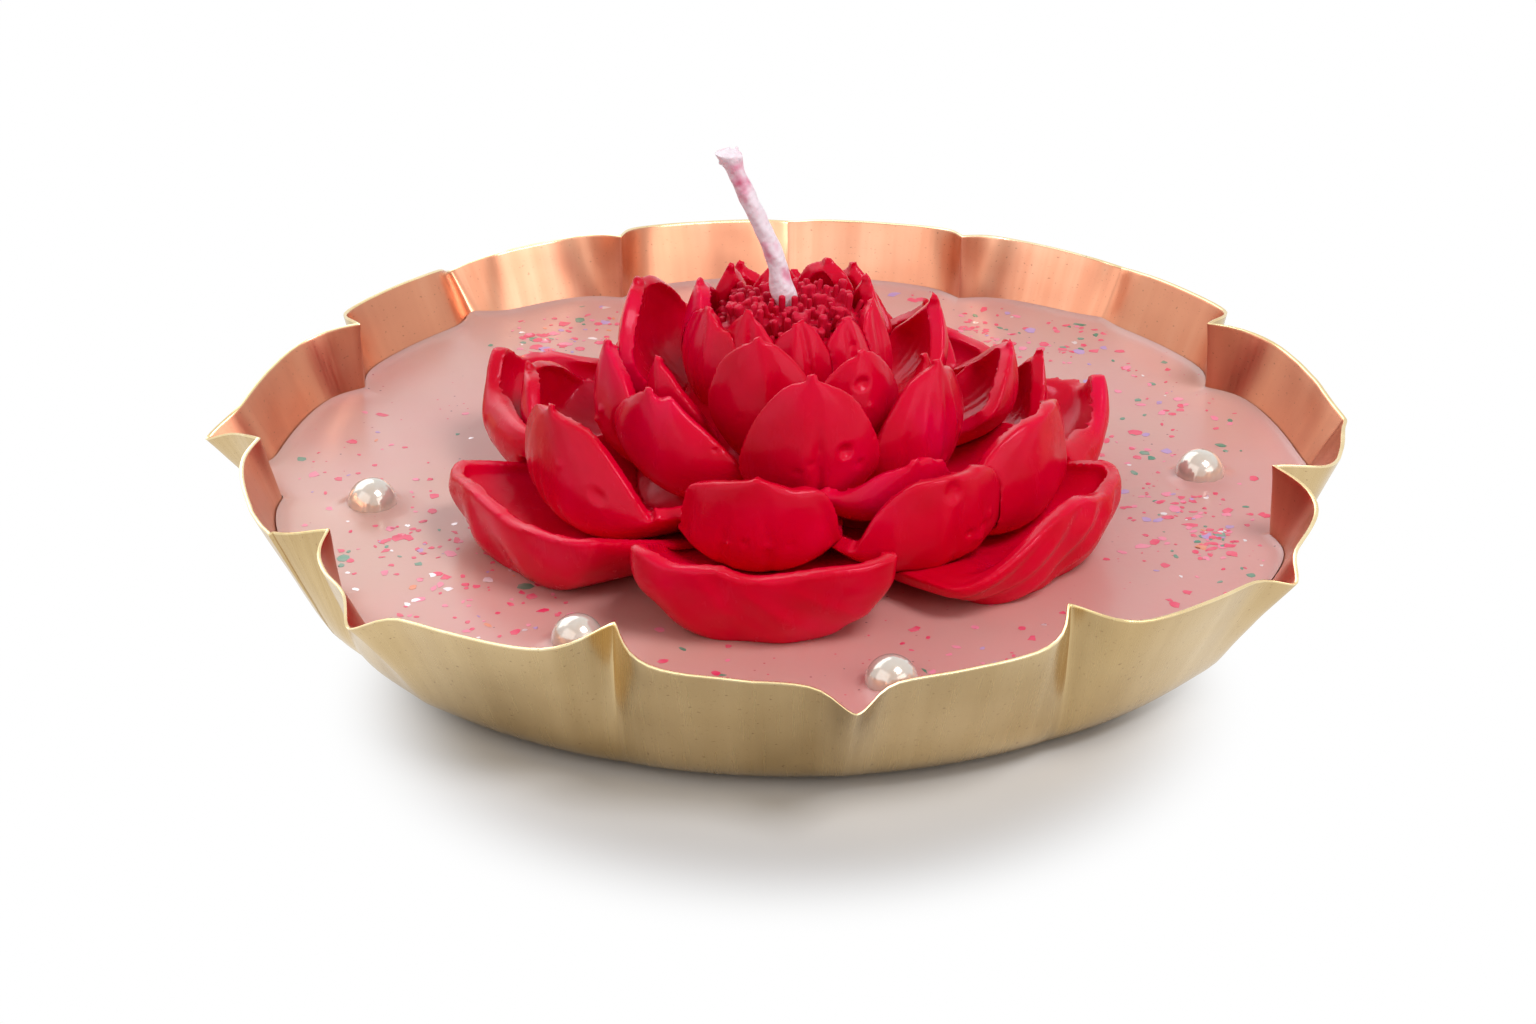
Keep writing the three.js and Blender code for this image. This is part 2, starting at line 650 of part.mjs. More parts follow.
add('brass_tray', traySheet(), brass);
add('wax_bed', geometryOf(largest(bed)), pinkWax);
for (const place of pearlPlaces) add(place.name, pearl(place, 0), nacre);
add('wick', wick(0), cotton);
add('wick_sustainer', sustainer(0), tinnedSteel);
add('flower_core', geometryOf(largest(solid(core(0)).subtract(wickHole))), redWax);
add('stamen_cluster', geometryOf(largest(stamenCluster(0).subtract(wickHole))), redWax);
for (const { name, shape } of flowerPieces()) add(name, geometryOf(shape), redWax);

export default lotus;
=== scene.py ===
# %% [markdown]
# # A lotus candle in a brass tray
#
# The real thing is a red wax lotus set on a bed of pale wax, which was poured into a
# hand-pressed brass tray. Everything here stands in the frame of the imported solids, in
# metres, so each piece goes where its solid is. The solids settle sizes and places, and
# this lesson gives each of them the fine shape and the finish of the real object.

import math

import bpy
import numpy as np
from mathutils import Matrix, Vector, noise


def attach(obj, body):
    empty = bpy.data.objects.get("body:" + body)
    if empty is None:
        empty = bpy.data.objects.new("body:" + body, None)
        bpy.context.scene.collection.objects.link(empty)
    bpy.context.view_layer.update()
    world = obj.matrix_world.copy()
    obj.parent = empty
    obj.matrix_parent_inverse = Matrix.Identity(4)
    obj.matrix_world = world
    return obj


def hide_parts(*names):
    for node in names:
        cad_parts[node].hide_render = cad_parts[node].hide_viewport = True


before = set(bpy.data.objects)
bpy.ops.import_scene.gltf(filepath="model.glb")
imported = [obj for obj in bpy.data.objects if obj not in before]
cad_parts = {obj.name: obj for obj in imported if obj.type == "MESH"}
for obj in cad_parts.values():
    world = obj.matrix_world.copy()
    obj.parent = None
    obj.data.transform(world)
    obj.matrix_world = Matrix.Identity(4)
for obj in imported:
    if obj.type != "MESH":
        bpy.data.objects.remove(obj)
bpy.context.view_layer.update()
MM, FULL_TURN = 0.001, 2 * math.pi
print("solids:", len(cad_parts))

# %% [markdown]
# ## Working as by hand
#
# Operators act on all that is selected, and loading leaves the solids selected. So one
# helper picks out a piece first, and another adds a primitive with nothing else picked.
# More of them enter edit mode, apply a modifier, and read or write the points of a mesh
# in millimetres, where a formula places them.


# %% Helpers for pieces
def pick(*pieces):
    bpy.ops.object.select_all(action="DESELECT")
    for piece in pieces:
        piece.select_set(True)
    bpy.context.view_layer.objects.active = pieces[0]


def primitive(operator, **settings):
    """Adds a primitive, with its place and turn applied to its points."""
    bpy.ops.object.select_all(action="DESELECT")
    operator(**settings)
    bpy.ops.object.transform_apply(location=True, rotation=True, scale=True)
    return bpy.context.object


def edit(piece):
    """Opens a piece in edit mode with all of it selected."""
    pick(piece)
    bpy.ops.object.mode_set(mode="EDIT")
    bpy.ops.mesh.select_all(action="SELECT")


def turn_outwards():
    """Turns all faces of the edited piece outwards and leaves edit mode."""
    bpy.ops.mesh.select_all(action="SELECT")
    bpy.ops.mesh.normals_make_consistent(inside=False)
    bpy.ops.object.mode_set(mode="OBJECT")


def apply(piece, kind, **settings):
    """Adds a modifier, sets it up and applies it."""
    modifier = piece.modifiers.new(kind.lower(), kind)
    for name, value in settings.items():
        setattr(modifier, name, value)
    pick(piece)
    bpy.ops.object.modifier_apply(modifier=modifier.name)
    return piece


def points_of(piece):
    """The points of a piece as rows of x, y and z in mm."""
    flat = np.empty(len(piece.data.vertices) * 3)
    piece.data.vertices.foreach_get("co", flat)
    return flat.reshape(-1, 3) / MM


def place_points(piece, points):
    piece.data.vertices.foreach_set("co", (np.asarray(points) * MM).ravel())
    piece.data.update()


def grid(across, along):
    """A flat grid, with each point's shares of the way across and along it."""
    piece = primitive(
        bpy.ops.mesh.primitive_grid_add, x_subdivisions=across, y_subdivisions=along, size=2)
    flat = points_of(piece) * MM
    return piece, (flat[:, 0] + 1) / 2, (flat[:, 1] + 1) / 2


def turned(angle, radius, height):
    """Points at angles round the tray's middle."""
    return np.stack([radius * np.cos(angle), radius * np.sin(angle), height], 1)


def close_up(piece, gap=0.01):
    """Merges points that meet at seams and poles and turns all faces outwards."""
    edit(piece)
    bpy.ops.mesh.remove_doubles(threshold=gap * MM)
    bpy.ops.mesh.dissolve_degenerate(threshold=gap * MM / 2)
    turn_outwards()


def into_scene(name, data):
    """An object for a mesh, lamp or camera that no operator made."""
    thing = bpy.data.objects.new(name, data)
    bpy.context.scene.collection.objects.link(thing)
    return thing


def round_edges(piece, width):
    """Bevels the sharp edges of a piece by a width in mm."""
    limit = dict(limit_method="ANGLE", angle_limit=math.radians(50))
    apply(piece, "BEVEL", width=width * MM, segments=2, **limit)


def finish_with(piece, material):
    piece.data.materials.clear()
    piece.data.materials.append(material)


def settle(piece, name, slot, *nodes, crease=40):
    """Names a finished piece, shades it smooth and ties it to the frame."""
    piece.name = name
    pick(piece)
    bpy.ops.object.shade_smooth_by_angle(angle=math.radians(crease))
    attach(piece, "root")
    if nodes:
        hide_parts(*nodes)
    return piece


# %% [markdown]
# ## Colours and nodes
#
# Colours are written as they look on a screen and turned to linear light by one
# function. One more function adds a node, sets it and links it, whatever its kind.


# %% Helpers for materials
def colour(code):
    """A hex sRGB colour as linear red, green, blue and alpha."""
    shares = [int(code[place:place + 2], 16) / 255 for place in (1, 3, 5)]
    return [s / 12.92 if s <= 0.04045 else ((s + 0.055) / 1.055) ** 2.4 for s in shares] + [1.0]


def feed(material, node, inputs):
    """Fills a node's inputs, by name or in their order. Another node's output is linked."""
    for socket, value in inputs.items() if isinstance(inputs, dict) else enumerate(inputs):
        if isinstance(value, bpy.types.NodeSocket):
            material.node_tree.links.new(value, node.inputs[socket])
        else:
            node.inputs[socket].default_value = value


def add_node(material, kind, inputs=(), output=None, stops=(), **settings):
    """Adds a node and returns an output of it, the first in use if none is named.

    Stops are for a colour ramp, as pairs of a place and a colour code.
    """
    node = material.node_tree.nodes.new("ShaderNode" + kind)
    for name, value in settings.items():
        setattr(node, name, value)
    feed(material, node, inputs)
    for _ in stops[2:]:
        node.color_ramp.elements.new(0.5)
    for place, (at, code) in enumerate(stops):
        node.color_ramp.elements[place].position = at
        node.color_ramp.elements[place].color = colour(code)
    if output:
        return node.outputs[output]
    return next(socket for socket in node.outputs if socket.enabled)


def new_material(name, **values):
    """A material and its Principled shader, whose sockets hold the given plain values."""
    material = bpy.data.materials.new(name)
    material.use_nodes = True
    shader = material.node_tree.nodes["Principled BSDF"]
    feed(material, shader, {socket.replace("_", " "): value for socket, value in values.items()})
    return material, shader


def patterned(material, place, scale, detail, roughness=0.5, stretch=None):
    """A noise whose grains are 1 / scale across, in the units of its coordinates."""
    if stretch:
        place = add_node(material, "Mapping", {"Vector": place, "Scale": stretch})
    return add_node(material, "TexNoise", {
        "Vector": place, "Scale": scale, "Detail": detail, "Roughness": roughness})


def blended(material, share, under, over):
    """One colour laid over another by a share."""
    return add_node(material, "Mix", {"Factor": share, "A": under, "B": over}, data_type="RGBA")


def bumps(material, *layers):
    """Bumps over each other, each with its height, its real depth in mm and its strength."""
    under = {}
    for height, depth, strength in layers:
        skin = add_node(material, "Bump", {
            "Height": height, "Distance": depth * MM, "Strength": strength, **under})
        under = {"Normal": skin}
    return skin


# %% [markdown]
# ## Red wax
#
# Candle wax is a blend of paraffin and stearin, dyed through, so light enters it and
# comes out redder at thin rims. That is what subsurface scattering is for, a couple of
# millimetres deep. Its skin is satin: it cools against silicone and fingers, keeps soft
# lumps of a few millimetres, and has patches of fine scratches and burst bubbles under a
# thin bloom. Those are bumps of a few hundredths of a millimetre, at their real
# distances. The heart of the flower is duller, as dust and bloom stay in it.

# %% Red candle wax
def red_candle_wax(name, tones, film_share, satin_range):
    material, shader = new_material(
        name, IOR=1.44, Subsurface_Weight=0.2, Subsurface_Scale=2.0 * MM,
        Subsurface_Radius=(1.0, 0.08, 0.08), Specular_IOR_Level=0.2,
        Specular_Tint=(1.0, 0.45, 0.7, 1.0), Coat_Weight=0.08, Coat_Roughness=0.12,
    )
    place = add_node(material, "TexCoord", output="Object")
    # Dye that settles a little unevenly, in clouds of about 12 mm
    clouds = patterned(material, place, 85, 2)
    tone = add_node(material, "ValToRGB", [clouds], stops=list(zip((0.3, 0.55, 0.75), tones)))
    # Bloom: a faint pale film in streaks of 1 to 3 mm
    film = patterned(material, place, 420, 5, roughness=0.65, stretch=(1, 1, 0.35))
    bloom = add_node(material, "MapRange", [film, 0.58, 0.8, 0.0, film_share])
    satin = add_node(material, "MapRange", [film, 0.3, 0.7, *satin_range])
    # Lumps of 4 mm, dents of 1 mm, and in patches of 10 mm the pits of burst bubbles
    lumps = patterned(material, place, 240, 2)
    dents = patterned(material, place, 900, 3, roughness=0.6)
    patches = patterned(material, place, 100, 2)
    bubbles = add_node(material, "TexVoronoi", {"Vector": place, "Scale": 260})
    pit = add_node(material, "MapRange", [bubbles, 0.03, 0.12, 0.0, 1.0])
    pitted = add_node(material, "MapRange", [patches, 0.5, 0.6, 0.0, 0.7])
    # Scratches, between those patches: where a stretched noise crosses its middle value
    twisted = patterned(material, place, 260, 1, stretch=(1.0, 0.4, 1.6))
    off_middle = add_node(material, "Math", [twisted, 0.5], operation="SUBTRACT")
    apart = add_node(material, "Math", [off_middle], operation="ABSOLUTE")
    scratch = add_node(material, "MapRange", [apart, 0.0, 0.005, 0.0, 1.0])
    scratched = add_node(material, "MapRange", [patches, 0.4, 0.5, 0.3, 0.0])
    feed(material, shader, {
        "Base Color": blended(material, bloom, tone, colour("#D83A62")),
        "Roughness": satin,
        "Normal": bumps(
            material, (lumps, 0.16, 1), (dents, 0.035, 1), (pit, 0.1, pitted), (scratch, 0.04, scratched)),
    })
    return material


RED_WAX = red_candle_wax(
    "red candle wax, pressed", ["#CA0020", "#D8002E", "#E20642"], 0.05, (0.18, 0.3))
HEART_WAX = red_candle_wax(
    "red candle wax, dull and crumbly", ["#BE0A2C", "#CA1436", "#D02446"], 0.2, (0.35, 0.5))
print("materials:", RED_WAX.name, "|", HEART_WAX.name)

# %% [markdown]
# ## Pale wax
#
# The bed is soy or paraffin wax with a drop of the same dye. It was poured warm, so it
# is smooth and milky, with tiny crumbs of glitter dust. Towards the front it is painted
# darker and pinker: painted shade, where the flower shades the bed.

# %% Pale pink wax, poured
def pale_poured_wax():
    material, shader = new_material(
        "pale pink candle wax, poured", IOR=1.44, Subsurface_Weight=0.35, Subsurface_Scale=2.5 * MM,
        Subsurface_Radius=(1.0, 0.55, 0.5), Roughness=0.3, Coat_Weight=0.1, Coat_Roughness=0.2,
    )
    place = add_node(material, "TexCoord", output="Object")
    # Clouds of dye some 40 mm across, and finer ones of 6 mm
    wide = patterned(material, place, 25, 2)
    fine = patterned(material, place, 160, 4)
    both = add_node(material, "Math", [fine, 0.25, wide], operation="MULTIPLY_ADD")
    clear = add_node(material, "ValToRGB", [both], stops=[
        (0.45, "#CCA093"), (0.62, "#CE9D95"), (0.8, "#D09792")])
    # Painted shade: darker and pinker towards the front, where the flower shades the bed
    forward = add_node(material, "SeparateXYZ", [place], output="Y")
    front_shade = add_node(material, "MapRange", [forward, -0.025, -0.06, 0.0, 0.5])
    tone = blended(material, front_shade, clear, colour("#D88F8F"))
    # Dust: crumbs of 0.1 to 0.3 mm, red and a few dark, in drifts
    drift = patterned(material, place, 70, 1)
    crumbs = {"Vector": place, "Scale": 620}
    near = add_node(material, "MapRange", [add_node(material, "TexVoronoi", crumbs), 0.07, 0.1, 1.0, 0.0])
    gathered = add_node(material, "MapRange", [drift, 0.5, 0.62, 0.0, 0.85])
    dusty = add_node(material, "Math", [near, gathered], operation="MULTIPLY")
    kind = add_node(material, "TexVoronoi", crumbs, output="Color")
    crumb_tone = add_node(material, "ValToRGB", [kind], stops=[
        (0.3, "#D8486A"), (0.6, "#C23A55"), (0.75, "#6E4A52")])
    # A swell of a quarter of a millimetre, and a grain that takes off the shine
    swell = patterned(material, place, 60, 2)
    grain = patterned(material, place, 1400, 2)
    feed(material, shader, {
        "Base Color": blended(material, dusty, tone, crumb_tone),
        "Normal": bumps(material, (swell, 0.25, 1), (grain, 0.012, 1)),
    })
    return material


PALE_WAX = pale_poured_wax()
print("material:", PALE_WAX.name)

# %% [markdown]
# ## Sheet brass
#
# The tray is thin sheet brass, rolled satin, lacquered and pressed by hand. Its outer
# face keeps the straw colour, its inner face has a rosy copper wash, and the sheared
# edge at the rim is bare and bright, painted paler still as a highlight. Rolling leaves
# fine lines, drawn here 0.3 mm apart down the wall so that they show. They follow the
# sheet, so they run on its UV map, which is laid out in metres: round the tray and up its wall.


# %% Brass and copper finishes
def sheet_metal(name, tones, worn, lines, hammering):
    """Sheet with its three tones, roughness range, and depths of lines and hammering in mm."""
    material, shader = new_material(name, Metallic=1.0)
    sheet = add_node(material, "UVMap", uv_map="sheet")
    wide = patterned(material, sheet, 45, 3)
    drawn = patterned(material, sheet, 1, 4, roughness=0.7, stretch=(3300, 60, 1))
    streaks = patterned(material, sheet, 1, 2, stretch=(420, 12, 1))
    blend = add_node(material, "Math", [streaks, 0.5, wide], operation="MULTIPLY_ADD")
    tone = add_node(material, "ValToRGB", [blend], stops=list(zip((0.55, 0.75, 0.95), tones)))
    # Specks of old lacquer and wax, 0.2 to 0.5 mm across
    specks = patterned(material, sheet, 2600, 2)
    spotted = add_node(material, "MapRange", [specks, 0.66, 0.72, 0.0, 0.5])
    hammered = patterned(material, sheet, 90, 2)
    feed(material, shader, {
        "Base Color": blended(material, spotted, tone, colour("#7E5A44")),
        "Roughness": add_node(material, "MapRange", [drawn, 0.3, 0.7, *worn]),
        "Normal": bumps(material, (hammered, hammering, 1), (drawn, lines, 0.5)),
    })
    return material


BRASS = sheet_metal(
    "sheet brass, satin rolled", ["#C4A879", "#D0B586", "#DCC295"], (0.2, 0.3), 0.006, 0.06)
COPPER_WASH = sheet_metal(
    "sheet brass, copper washed", ["#C28266", "#CE8E6F", "#D8A284"], (0.28, 0.38), 0.003, 0.04)
# The sheared edge is bare brass, and its tones are painted paler still as a highlight along the rim
EDGE_AND_HIGHLIGHT = sheet_metal(
    "sheet brass, sheared edge and painted highlight", ["#E2C893", "#EFD9A8", "#F6E6BE"], (0.2, 0.3), 0.01, 0.03)
print("materials:", BRASS.name, "|", COPPER_WASH.name, "|", EDGE_AND_HIGHLIGHT.name)

# %% [markdown]
# ## The tray
#
# It is one disc of 0.6 mm sheet, pressed up into nine unequal lobes. The rim keeps the
# length of the flat sheet, so where a lobe is pushed out at its tip it gets lower, and
# the folds between lobes are drawn in. No operator makes such a rim. So a flat grid, as
# a strip of sheet, is laid along the section (under the foot, up the wall, over the rim
# and back down inside) and wrapped round, and the rim's own rule places each point.

# %% The rim's rule
# The wall up its slant, the sheet's thickness and the rounding at the foot, in mm
WALL_SLANT, SHEET, FOOT_ROUND = 20.0, 0.6, 5.0
TIP_RADIUS, FOOT_RADIUS = 70.0, 58.6
CREASE_WIDTH, TIP_WIDTH = 3.2, 2.9
# Reach of the rim's shoulders beside a fold and beside a tip, as shares of TIP_RADIUS
AT_FOLD, AT_TIP = 0.95, 0.971
# Bearing and reach of each lobe's tip, then of the fold after it
LOBES = [
    (276, 1.013, 300.5, 0.874), (325, 1.004, 343.7, 0.857), (362, 0.980, 386, 0.859),
    (409.5, 0.991, 427.5, 0.88), (450, 0.989, 472, 0.868), (490, 1.02, 515, 0.87),
    (540, 1.02, 547, 0.92), (568, 0.965, 572.7, 0.895), (586.5, 1.01, 611.8, 0.866),
]


def rim_spots(steps):
    """Angle, shoulder reach and drawn-out or folded-in reach of spots round the rim."""
    spots = []
    for place, (tip, tip_reach, fold, fold_reach) in enumerate(LOBES):
        fold_before, reach_before = LOBES[place - 1][2:]
        if place == 0:
            fold_before -= 360
        halves = ((fold_before, tip, fold_before, reach_before), (tip, fold, fold, fold_reach))
        for start, end, here, reach in halves:
            share = (1 - np.cos(np.pi * np.arange(steps) / steps)) / 2
            angle = start + (end - start) * share
            along = np.abs(angle - here) / abs(tip - here)
            from_fold = np.abs(np.radians(angle - here)) * TIP_RADIUS
            from_tip = np.abs(np.radians(angle - tip)) * TIP_RADIUS
            shoulder = AT_FOLD + (AT_TIP - AT_FOLD) * along
            dip = (AT_FOLD - reach) * np.exp(-((from_fold / CREASE_WIDTH) ** 1.35))
            rise = (tip_reach - AT_TIP) * np.exp(-((from_tip / TIP_WIDTH) ** 1.8))
            reaches = shoulder * TIP_RADIUS, (rise - dip) * TIP_RADIUS
            spots.append(np.stack([np.radians(angle), *reaches], 1))
    return np.concatenate(spots)


def wall_point(spot, share, inset):
    """Radius and height of the wall at a share of the way up it and an inset."""
    slant = WALL_SLANT * share
    lean = (spot[:, 1] - FOOT_RADIUS) * share + spot[:, 2] * share ** 1.5
    rise = np.sqrt(slant ** 2 - np.minimum(lean ** 2, slant ** 2 / 2))
    length = np.hypot(lean, rise)
    return FOOT_RADIUS + lean - rise / length * inset, rise + lean / length * inset * (1 - share)


ROUND_SHARE = FOOT_ROUND / WALL_SLANT


def section_point(spot, share, inset):
    """A point of the section: -1 at the centre, to 0 along the foot, to 1 up the wall."""
    if share <= 0:
        radius = np.full(len(spot), (FOOT_RADIUS - FOOT_ROUND) * (1 + share))
        return radius, np.full(len(spot), inset)
    if share < ROUND_SHARE:
        t = share / ROUND_SHARE
        top_radius, top_height = wall_point(spot, ROUND_SHARE, inset)
        radius = (1 - t) ** 2 * (FOOT_RADIUS - FOOT_ROUND) + 2 * t * (1 - t) * (FOOT_RADIUS - inset)
        return radius + t ** 2 * top_radius, (1 - t ** 2) * inset + t ** 2 * top_height
    return wall_point(spot, share, inset)


STEPS_TO_A_FOLD = 26
SPOTS = rim_spots(STEPS_TO_A_FOLD)
print("spots round the rim:", len(SPOTS))


# %% Wrapping a sheet round
def wrapped(spots, section):
    """A grid laid along section rows of (share, inset) and wrapped round the spots."""
    around, rows = len(spots), len(section)
    piece, across, along = grid(around, rows - 1)
    wrapped_spots = spots[np.rint(across * around).astype(int) % around]
    row = np.rint(along * (rows - 1)).astype(int)
    radius, height = np.empty(len(row)), np.empty(len(row))
    for number, (share, inset) in enumerate(section):
        here = row == number
        radius[here], height[here] = section_point(wrapped_spots[here], share, inset)
    place_points(piece, turned(wrapped_spots[:, 0], radius, height))
    return piece, row


def lay_sheet_map(piece, section):
    """The UV map in metres: the way round the rim, and the way along the section."""
    layer = piece.data.uv_layers.active
    layer.name = "sheet"
    uv = np.empty(len(layer.data) * 2)
    layer.data.foreach_get("uv", uv)
    uv = uv.reshape(-1, 2)
    shares, insets = np.array(section).T
    length = np.where(shares > 0, WALL_SLANT, FOOT_RADIUS)
    steps = np.abs(np.diff(shares)) * length[1:] + np.abs(np.diff(insets))
    way = np.concatenate([[0], np.cumsum(steps)])
    uv[:, 1] = np.interp(uv[:, 1] * (len(section) - 1), np.arange(len(section)), way) * MM
    uv[:, 0] *= FULL_TURN * TIP_RADIUS * MM
    layer.data.foreach_set("uv", uv.ravel())


# %% The pressed sheet
ROUND_STEPS, WALL_STEPS, WALL_END = 7, 12, 0.985
foot_rows = [-1, -0.66, -0.33, 0]
round_rows = [ROUND_SHARE * step / ROUND_STEPS for step in range(1, ROUND_STEPS + 1)]
wall_rows = list(np.linspace(ROUND_SHARE, WALL_END, WALL_STEPS + 1)[1:])
up = foot_rows + round_rows + wall_rows
outside = [(share, 0.0) for share in up]
# The sheared edge is about square, with its two corners rounded by 0.1 mm
over_the_rim = [
    (0.996, 0.02), (1.0, 0.12), (1.0, SHEET / 2), (1.0, SHEET - 0.12), (0.996, SHEET - 0.02),
]
inside = [(share, SHEET) for share in reversed(up)]
section = outside + over_the_rim + inside

tray, tray_rows = wrapped(SPOTS, section)
lay_sheet_map(tray, section)
for finish in (BRASS, EDGE_AND_HIGHLIGHT, COPPER_WASH):
    tray.data.materials.append(finish)
edge_start, wash_start = len(outside) - 1, len(outside) + len(over_the_rim) - 1
for face in tray.data.polygons:
    row = min(tray_rows[corner] for corner in face.vertices)
    face.material_index = int(row >= edge_start) + int(row >= wash_start)

# Hand work: the wall waves a few tenths of a millimetre, and only inwards, so the tray
# keeps its size
WAVE_DEPTH, FULL_WAVES_ABOVE = 0.22, 16
points = points_of(tray)
for number, point in enumerate(points):
    up_share = min(max(point[2] / FULL_WAVES_ABOVE, 0), 1)
    wave = noise.noise(Vector(point) / 9) + 0.5 * noise.noise(Vector(point) / 4)
    shift = -WAVE_DEPTH * up_share * abs(wave)
    reach = math.hypot(point[0], point[1])
    if reach > 1:
        points[number, :2] *= 1 + shift / reach
place_points(tray, points)
close_up(tray)
settle(tray, "pressed_tray", "brass", "brass_tray", crease=50)
print("tray faces:", len(tray.data.polygons))

# %% [markdown]
# ## The poured bed
#
# Warm wax fills the tray to 10.5 mm and wets what it touches: it climbs half a
# millimetre up the wall and draws a small collar round each pearl. It is wrapped round
# as the tray is, on the inner face of the sheet. Then the faces near the pearls are
# subdivided, so that the collars have points to rise on.

# %% Where the level wax meets the wall
WAX_TOP = 10.5
PEARL_RADIUS, PEARL_PROUD = 3.0, 3.6
FLOWER_RADIUS, FLOWER_HEIGHT, FLOWER_OFFSET = 41.5, 29.0, 3.5
BARE_RING = FOOT_RADIUS - FLOWER_RADIUS
# Bearing in degrees, and share of the way across the bare ring
PEARLS = {"left": (190, 0.575), "front_left": (242, 0.52), "front": (282, 0.965), "right": (360, 0.54)}


def pearl_centre(bearing, across):
    reach = FLOWER_RADIUS + PEARL_RADIUS + (BARE_RING - 2 * PEARL_RADIUS) * across
    angle = math.radians(bearing)
    height = WAX_TOP + PEARL_PROUD - PEARL_RADIUS
    return np.array([reach * math.cos(angle), reach * math.sin(angle), height])


def brim(spots, inset):
    """The wall share at which each spot's inner face passes the wax's level."""
    shares = np.linspace(ROUND_SHARE, 1, 60)
    heights = np.array([wall_point(spots, share, inset)[1] for share in shares])
    return np.array([np.interp(WAX_TOP, heights[:, place], shares) for place in range(len(spots))])


BRIM = brim(SPOTS, SHEET)
brim_radius = np.array([
    wall_point(SPOTS[i:i + 1], BRIM[i], SHEET)[0][0] for i in range(len(SPOTS))
])
print("the wax's reach in mm:", brim_radius.min().round(1), "to", brim_radius.max().round(1))

# %% The bed
# Rows of the grid: up the sheet, up to the brim, then rings of the top, 60 being its middle
FULL_WAY = 60
bed_rows = [("wall", share) for share in (-1, 0, 0.12, ROUND_SHARE)]
bed_rows += [("brim", share) for share in (0.7, 1.0)]
near_the_wall, halfway = [0.0, 0.35, 0.8, 1.4, 2.2], list(np.linspace(3.4, 30, 23))
top_rings = near_the_wall + halfway + [40, 50, 58, FULL_WAY]
bed_rows += [("top", inwards) for inwards in top_rings]

bed, across, along = grid(len(SPOTS), len(bed_rows) - 1)
column = np.rint(across * len(SPOTS)).astype(int) % len(SPOTS)
row = np.rint(along * (len(bed_rows) - 1)).astype(int)
skin_inset = SHEET + 0.03
radius, height = np.zeros(len(row)), np.zeros(len(row))
for number, (kind, value) in enumerate(bed_rows):
    here = row == number
    spots, brims = SPOTS[column[here]], BRIM[column[here]]
    if kind == "wall":
        radius[here], height[here] = section_point(spots, value, skin_inset)
    elif kind == "brim":
        shares = ROUND_SHARE + (brims - ROUND_SHARE) * value
        pairs = [wall_point(spots[i:i + 1], shares[i], skin_inset) for i in range(len(spots))]
        radius[here], height[here] = np.array(pairs)[:, :, 0].T
    else:
        radius[here] = brim_radius[column[here]] * (1 - value / FULL_WAY)
        height[here] = WAX_TOP
place_points(bed, turned(SPOTS[column, 0], radius, height))
close_up(bed)


def near_pearl(point, within):
    centres = [pearl_centre(*place)[:2] for place in PEARLS.values()]
    return min(math.dist(point[:2], centre) for centre in centres) < within


# Two rounds, the second nearer to the pearls, in mm
SUBDIVIDED = (6.5, 4.8)
for within in SUBDIVIDED:
    edit(bed)
    bpy.ops.mesh.select_mode(type="FACE")
    bpy.ops.mesh.select_all(action="DESELECT")
    bpy.ops.object.mode_set(mode="OBJECT")
    for polygon in bed.data.polygons:
        level = polygon.normal.z > 0.9
        polygon.select = level and near_pearl([c / MM for c in polygon.center], within)
    bpy.ops.object.mode_set(mode="EDIT")
    bpy.ops.mesh.subdivide(number_cuts=1)
    bpy.ops.object.mode_set(mode="OBJECT")

# %% The wax wets what it touches
order = np.argsort(np.mod(SPOTS[:, 0], FULL_TURN))


def brim_towards(x, y):
    """How far out the wax reaches in the direction of a point."""
    bearing = np.mod(np.arctan2(y, x), FULL_TURN)
    return np.interp(bearing, np.mod(SPOTS[order, 0], FULL_TURN), brim_radius[order], period=FULL_TURN)


def unevenness(x, y):
    """How far the level wax lies off its level at a place."""
    return 0.06 * noise.noise(Vector((x, y, 0)) / 14)


# How far the wax climbs at the wall and at a pearl, and over what way it dies out, in mm
AT_WALL, WALL_FALL = 0.55, 0.7
AT_PEARL, PEARL_FALL, COLLAR_END, INTO_BEAD = 0.6, 0.55, 4, 0.3
HIGHEST_RISE = 1.2

points = points_of(bed)
level = points[:, 2] > WAX_TOP - 0.01
x, y = points[:, 0], points[:, 1]
rise = AT_WALL * np.exp(-np.maximum(brim_towards(x, y) - np.hypot(x, y), 0) / WALL_FALL)
for place in PEARLS.values():
    centre = pearl_centre(*place)
    waterline = math.sqrt(PEARL_RADIUS ** 2 - (centre[2] - WAX_TOP) ** 2)
    from_bead = np.hypot(x - centre[0], y - centre[1]) - waterline
    collar = AT_PEARL * np.exp(-np.maximum(from_bead, -INTO_BEAD) / PEARL_FALL)
    rise += collar * (from_bead < COLLAR_END)
rise += np.array([unevenness(*spot) for spot in points[:, :2]])
points[:, 2] += np.where(level, np.minimum(rise, HIGHEST_RISE), 0)
place_points(bed, points)
bed.data.materials.append(PALE_WAX)
settle(bed, "poured_bed", "pink_wax", "wax_bed", crease=60)
print("bed faces:", len(bed.data.polygons))

# %% [markdown]
# ## Pearls
#
# They are 6 mm craft beads: a glass or resin core under a coat of nacre, drilled
# through, and pressed into the wax so that a little over half stands out. A sphere is
# turned so that its drill hole points down at the front and comes out at the back, and
# the hole is cut with a slim cylinder and its mouth softened.


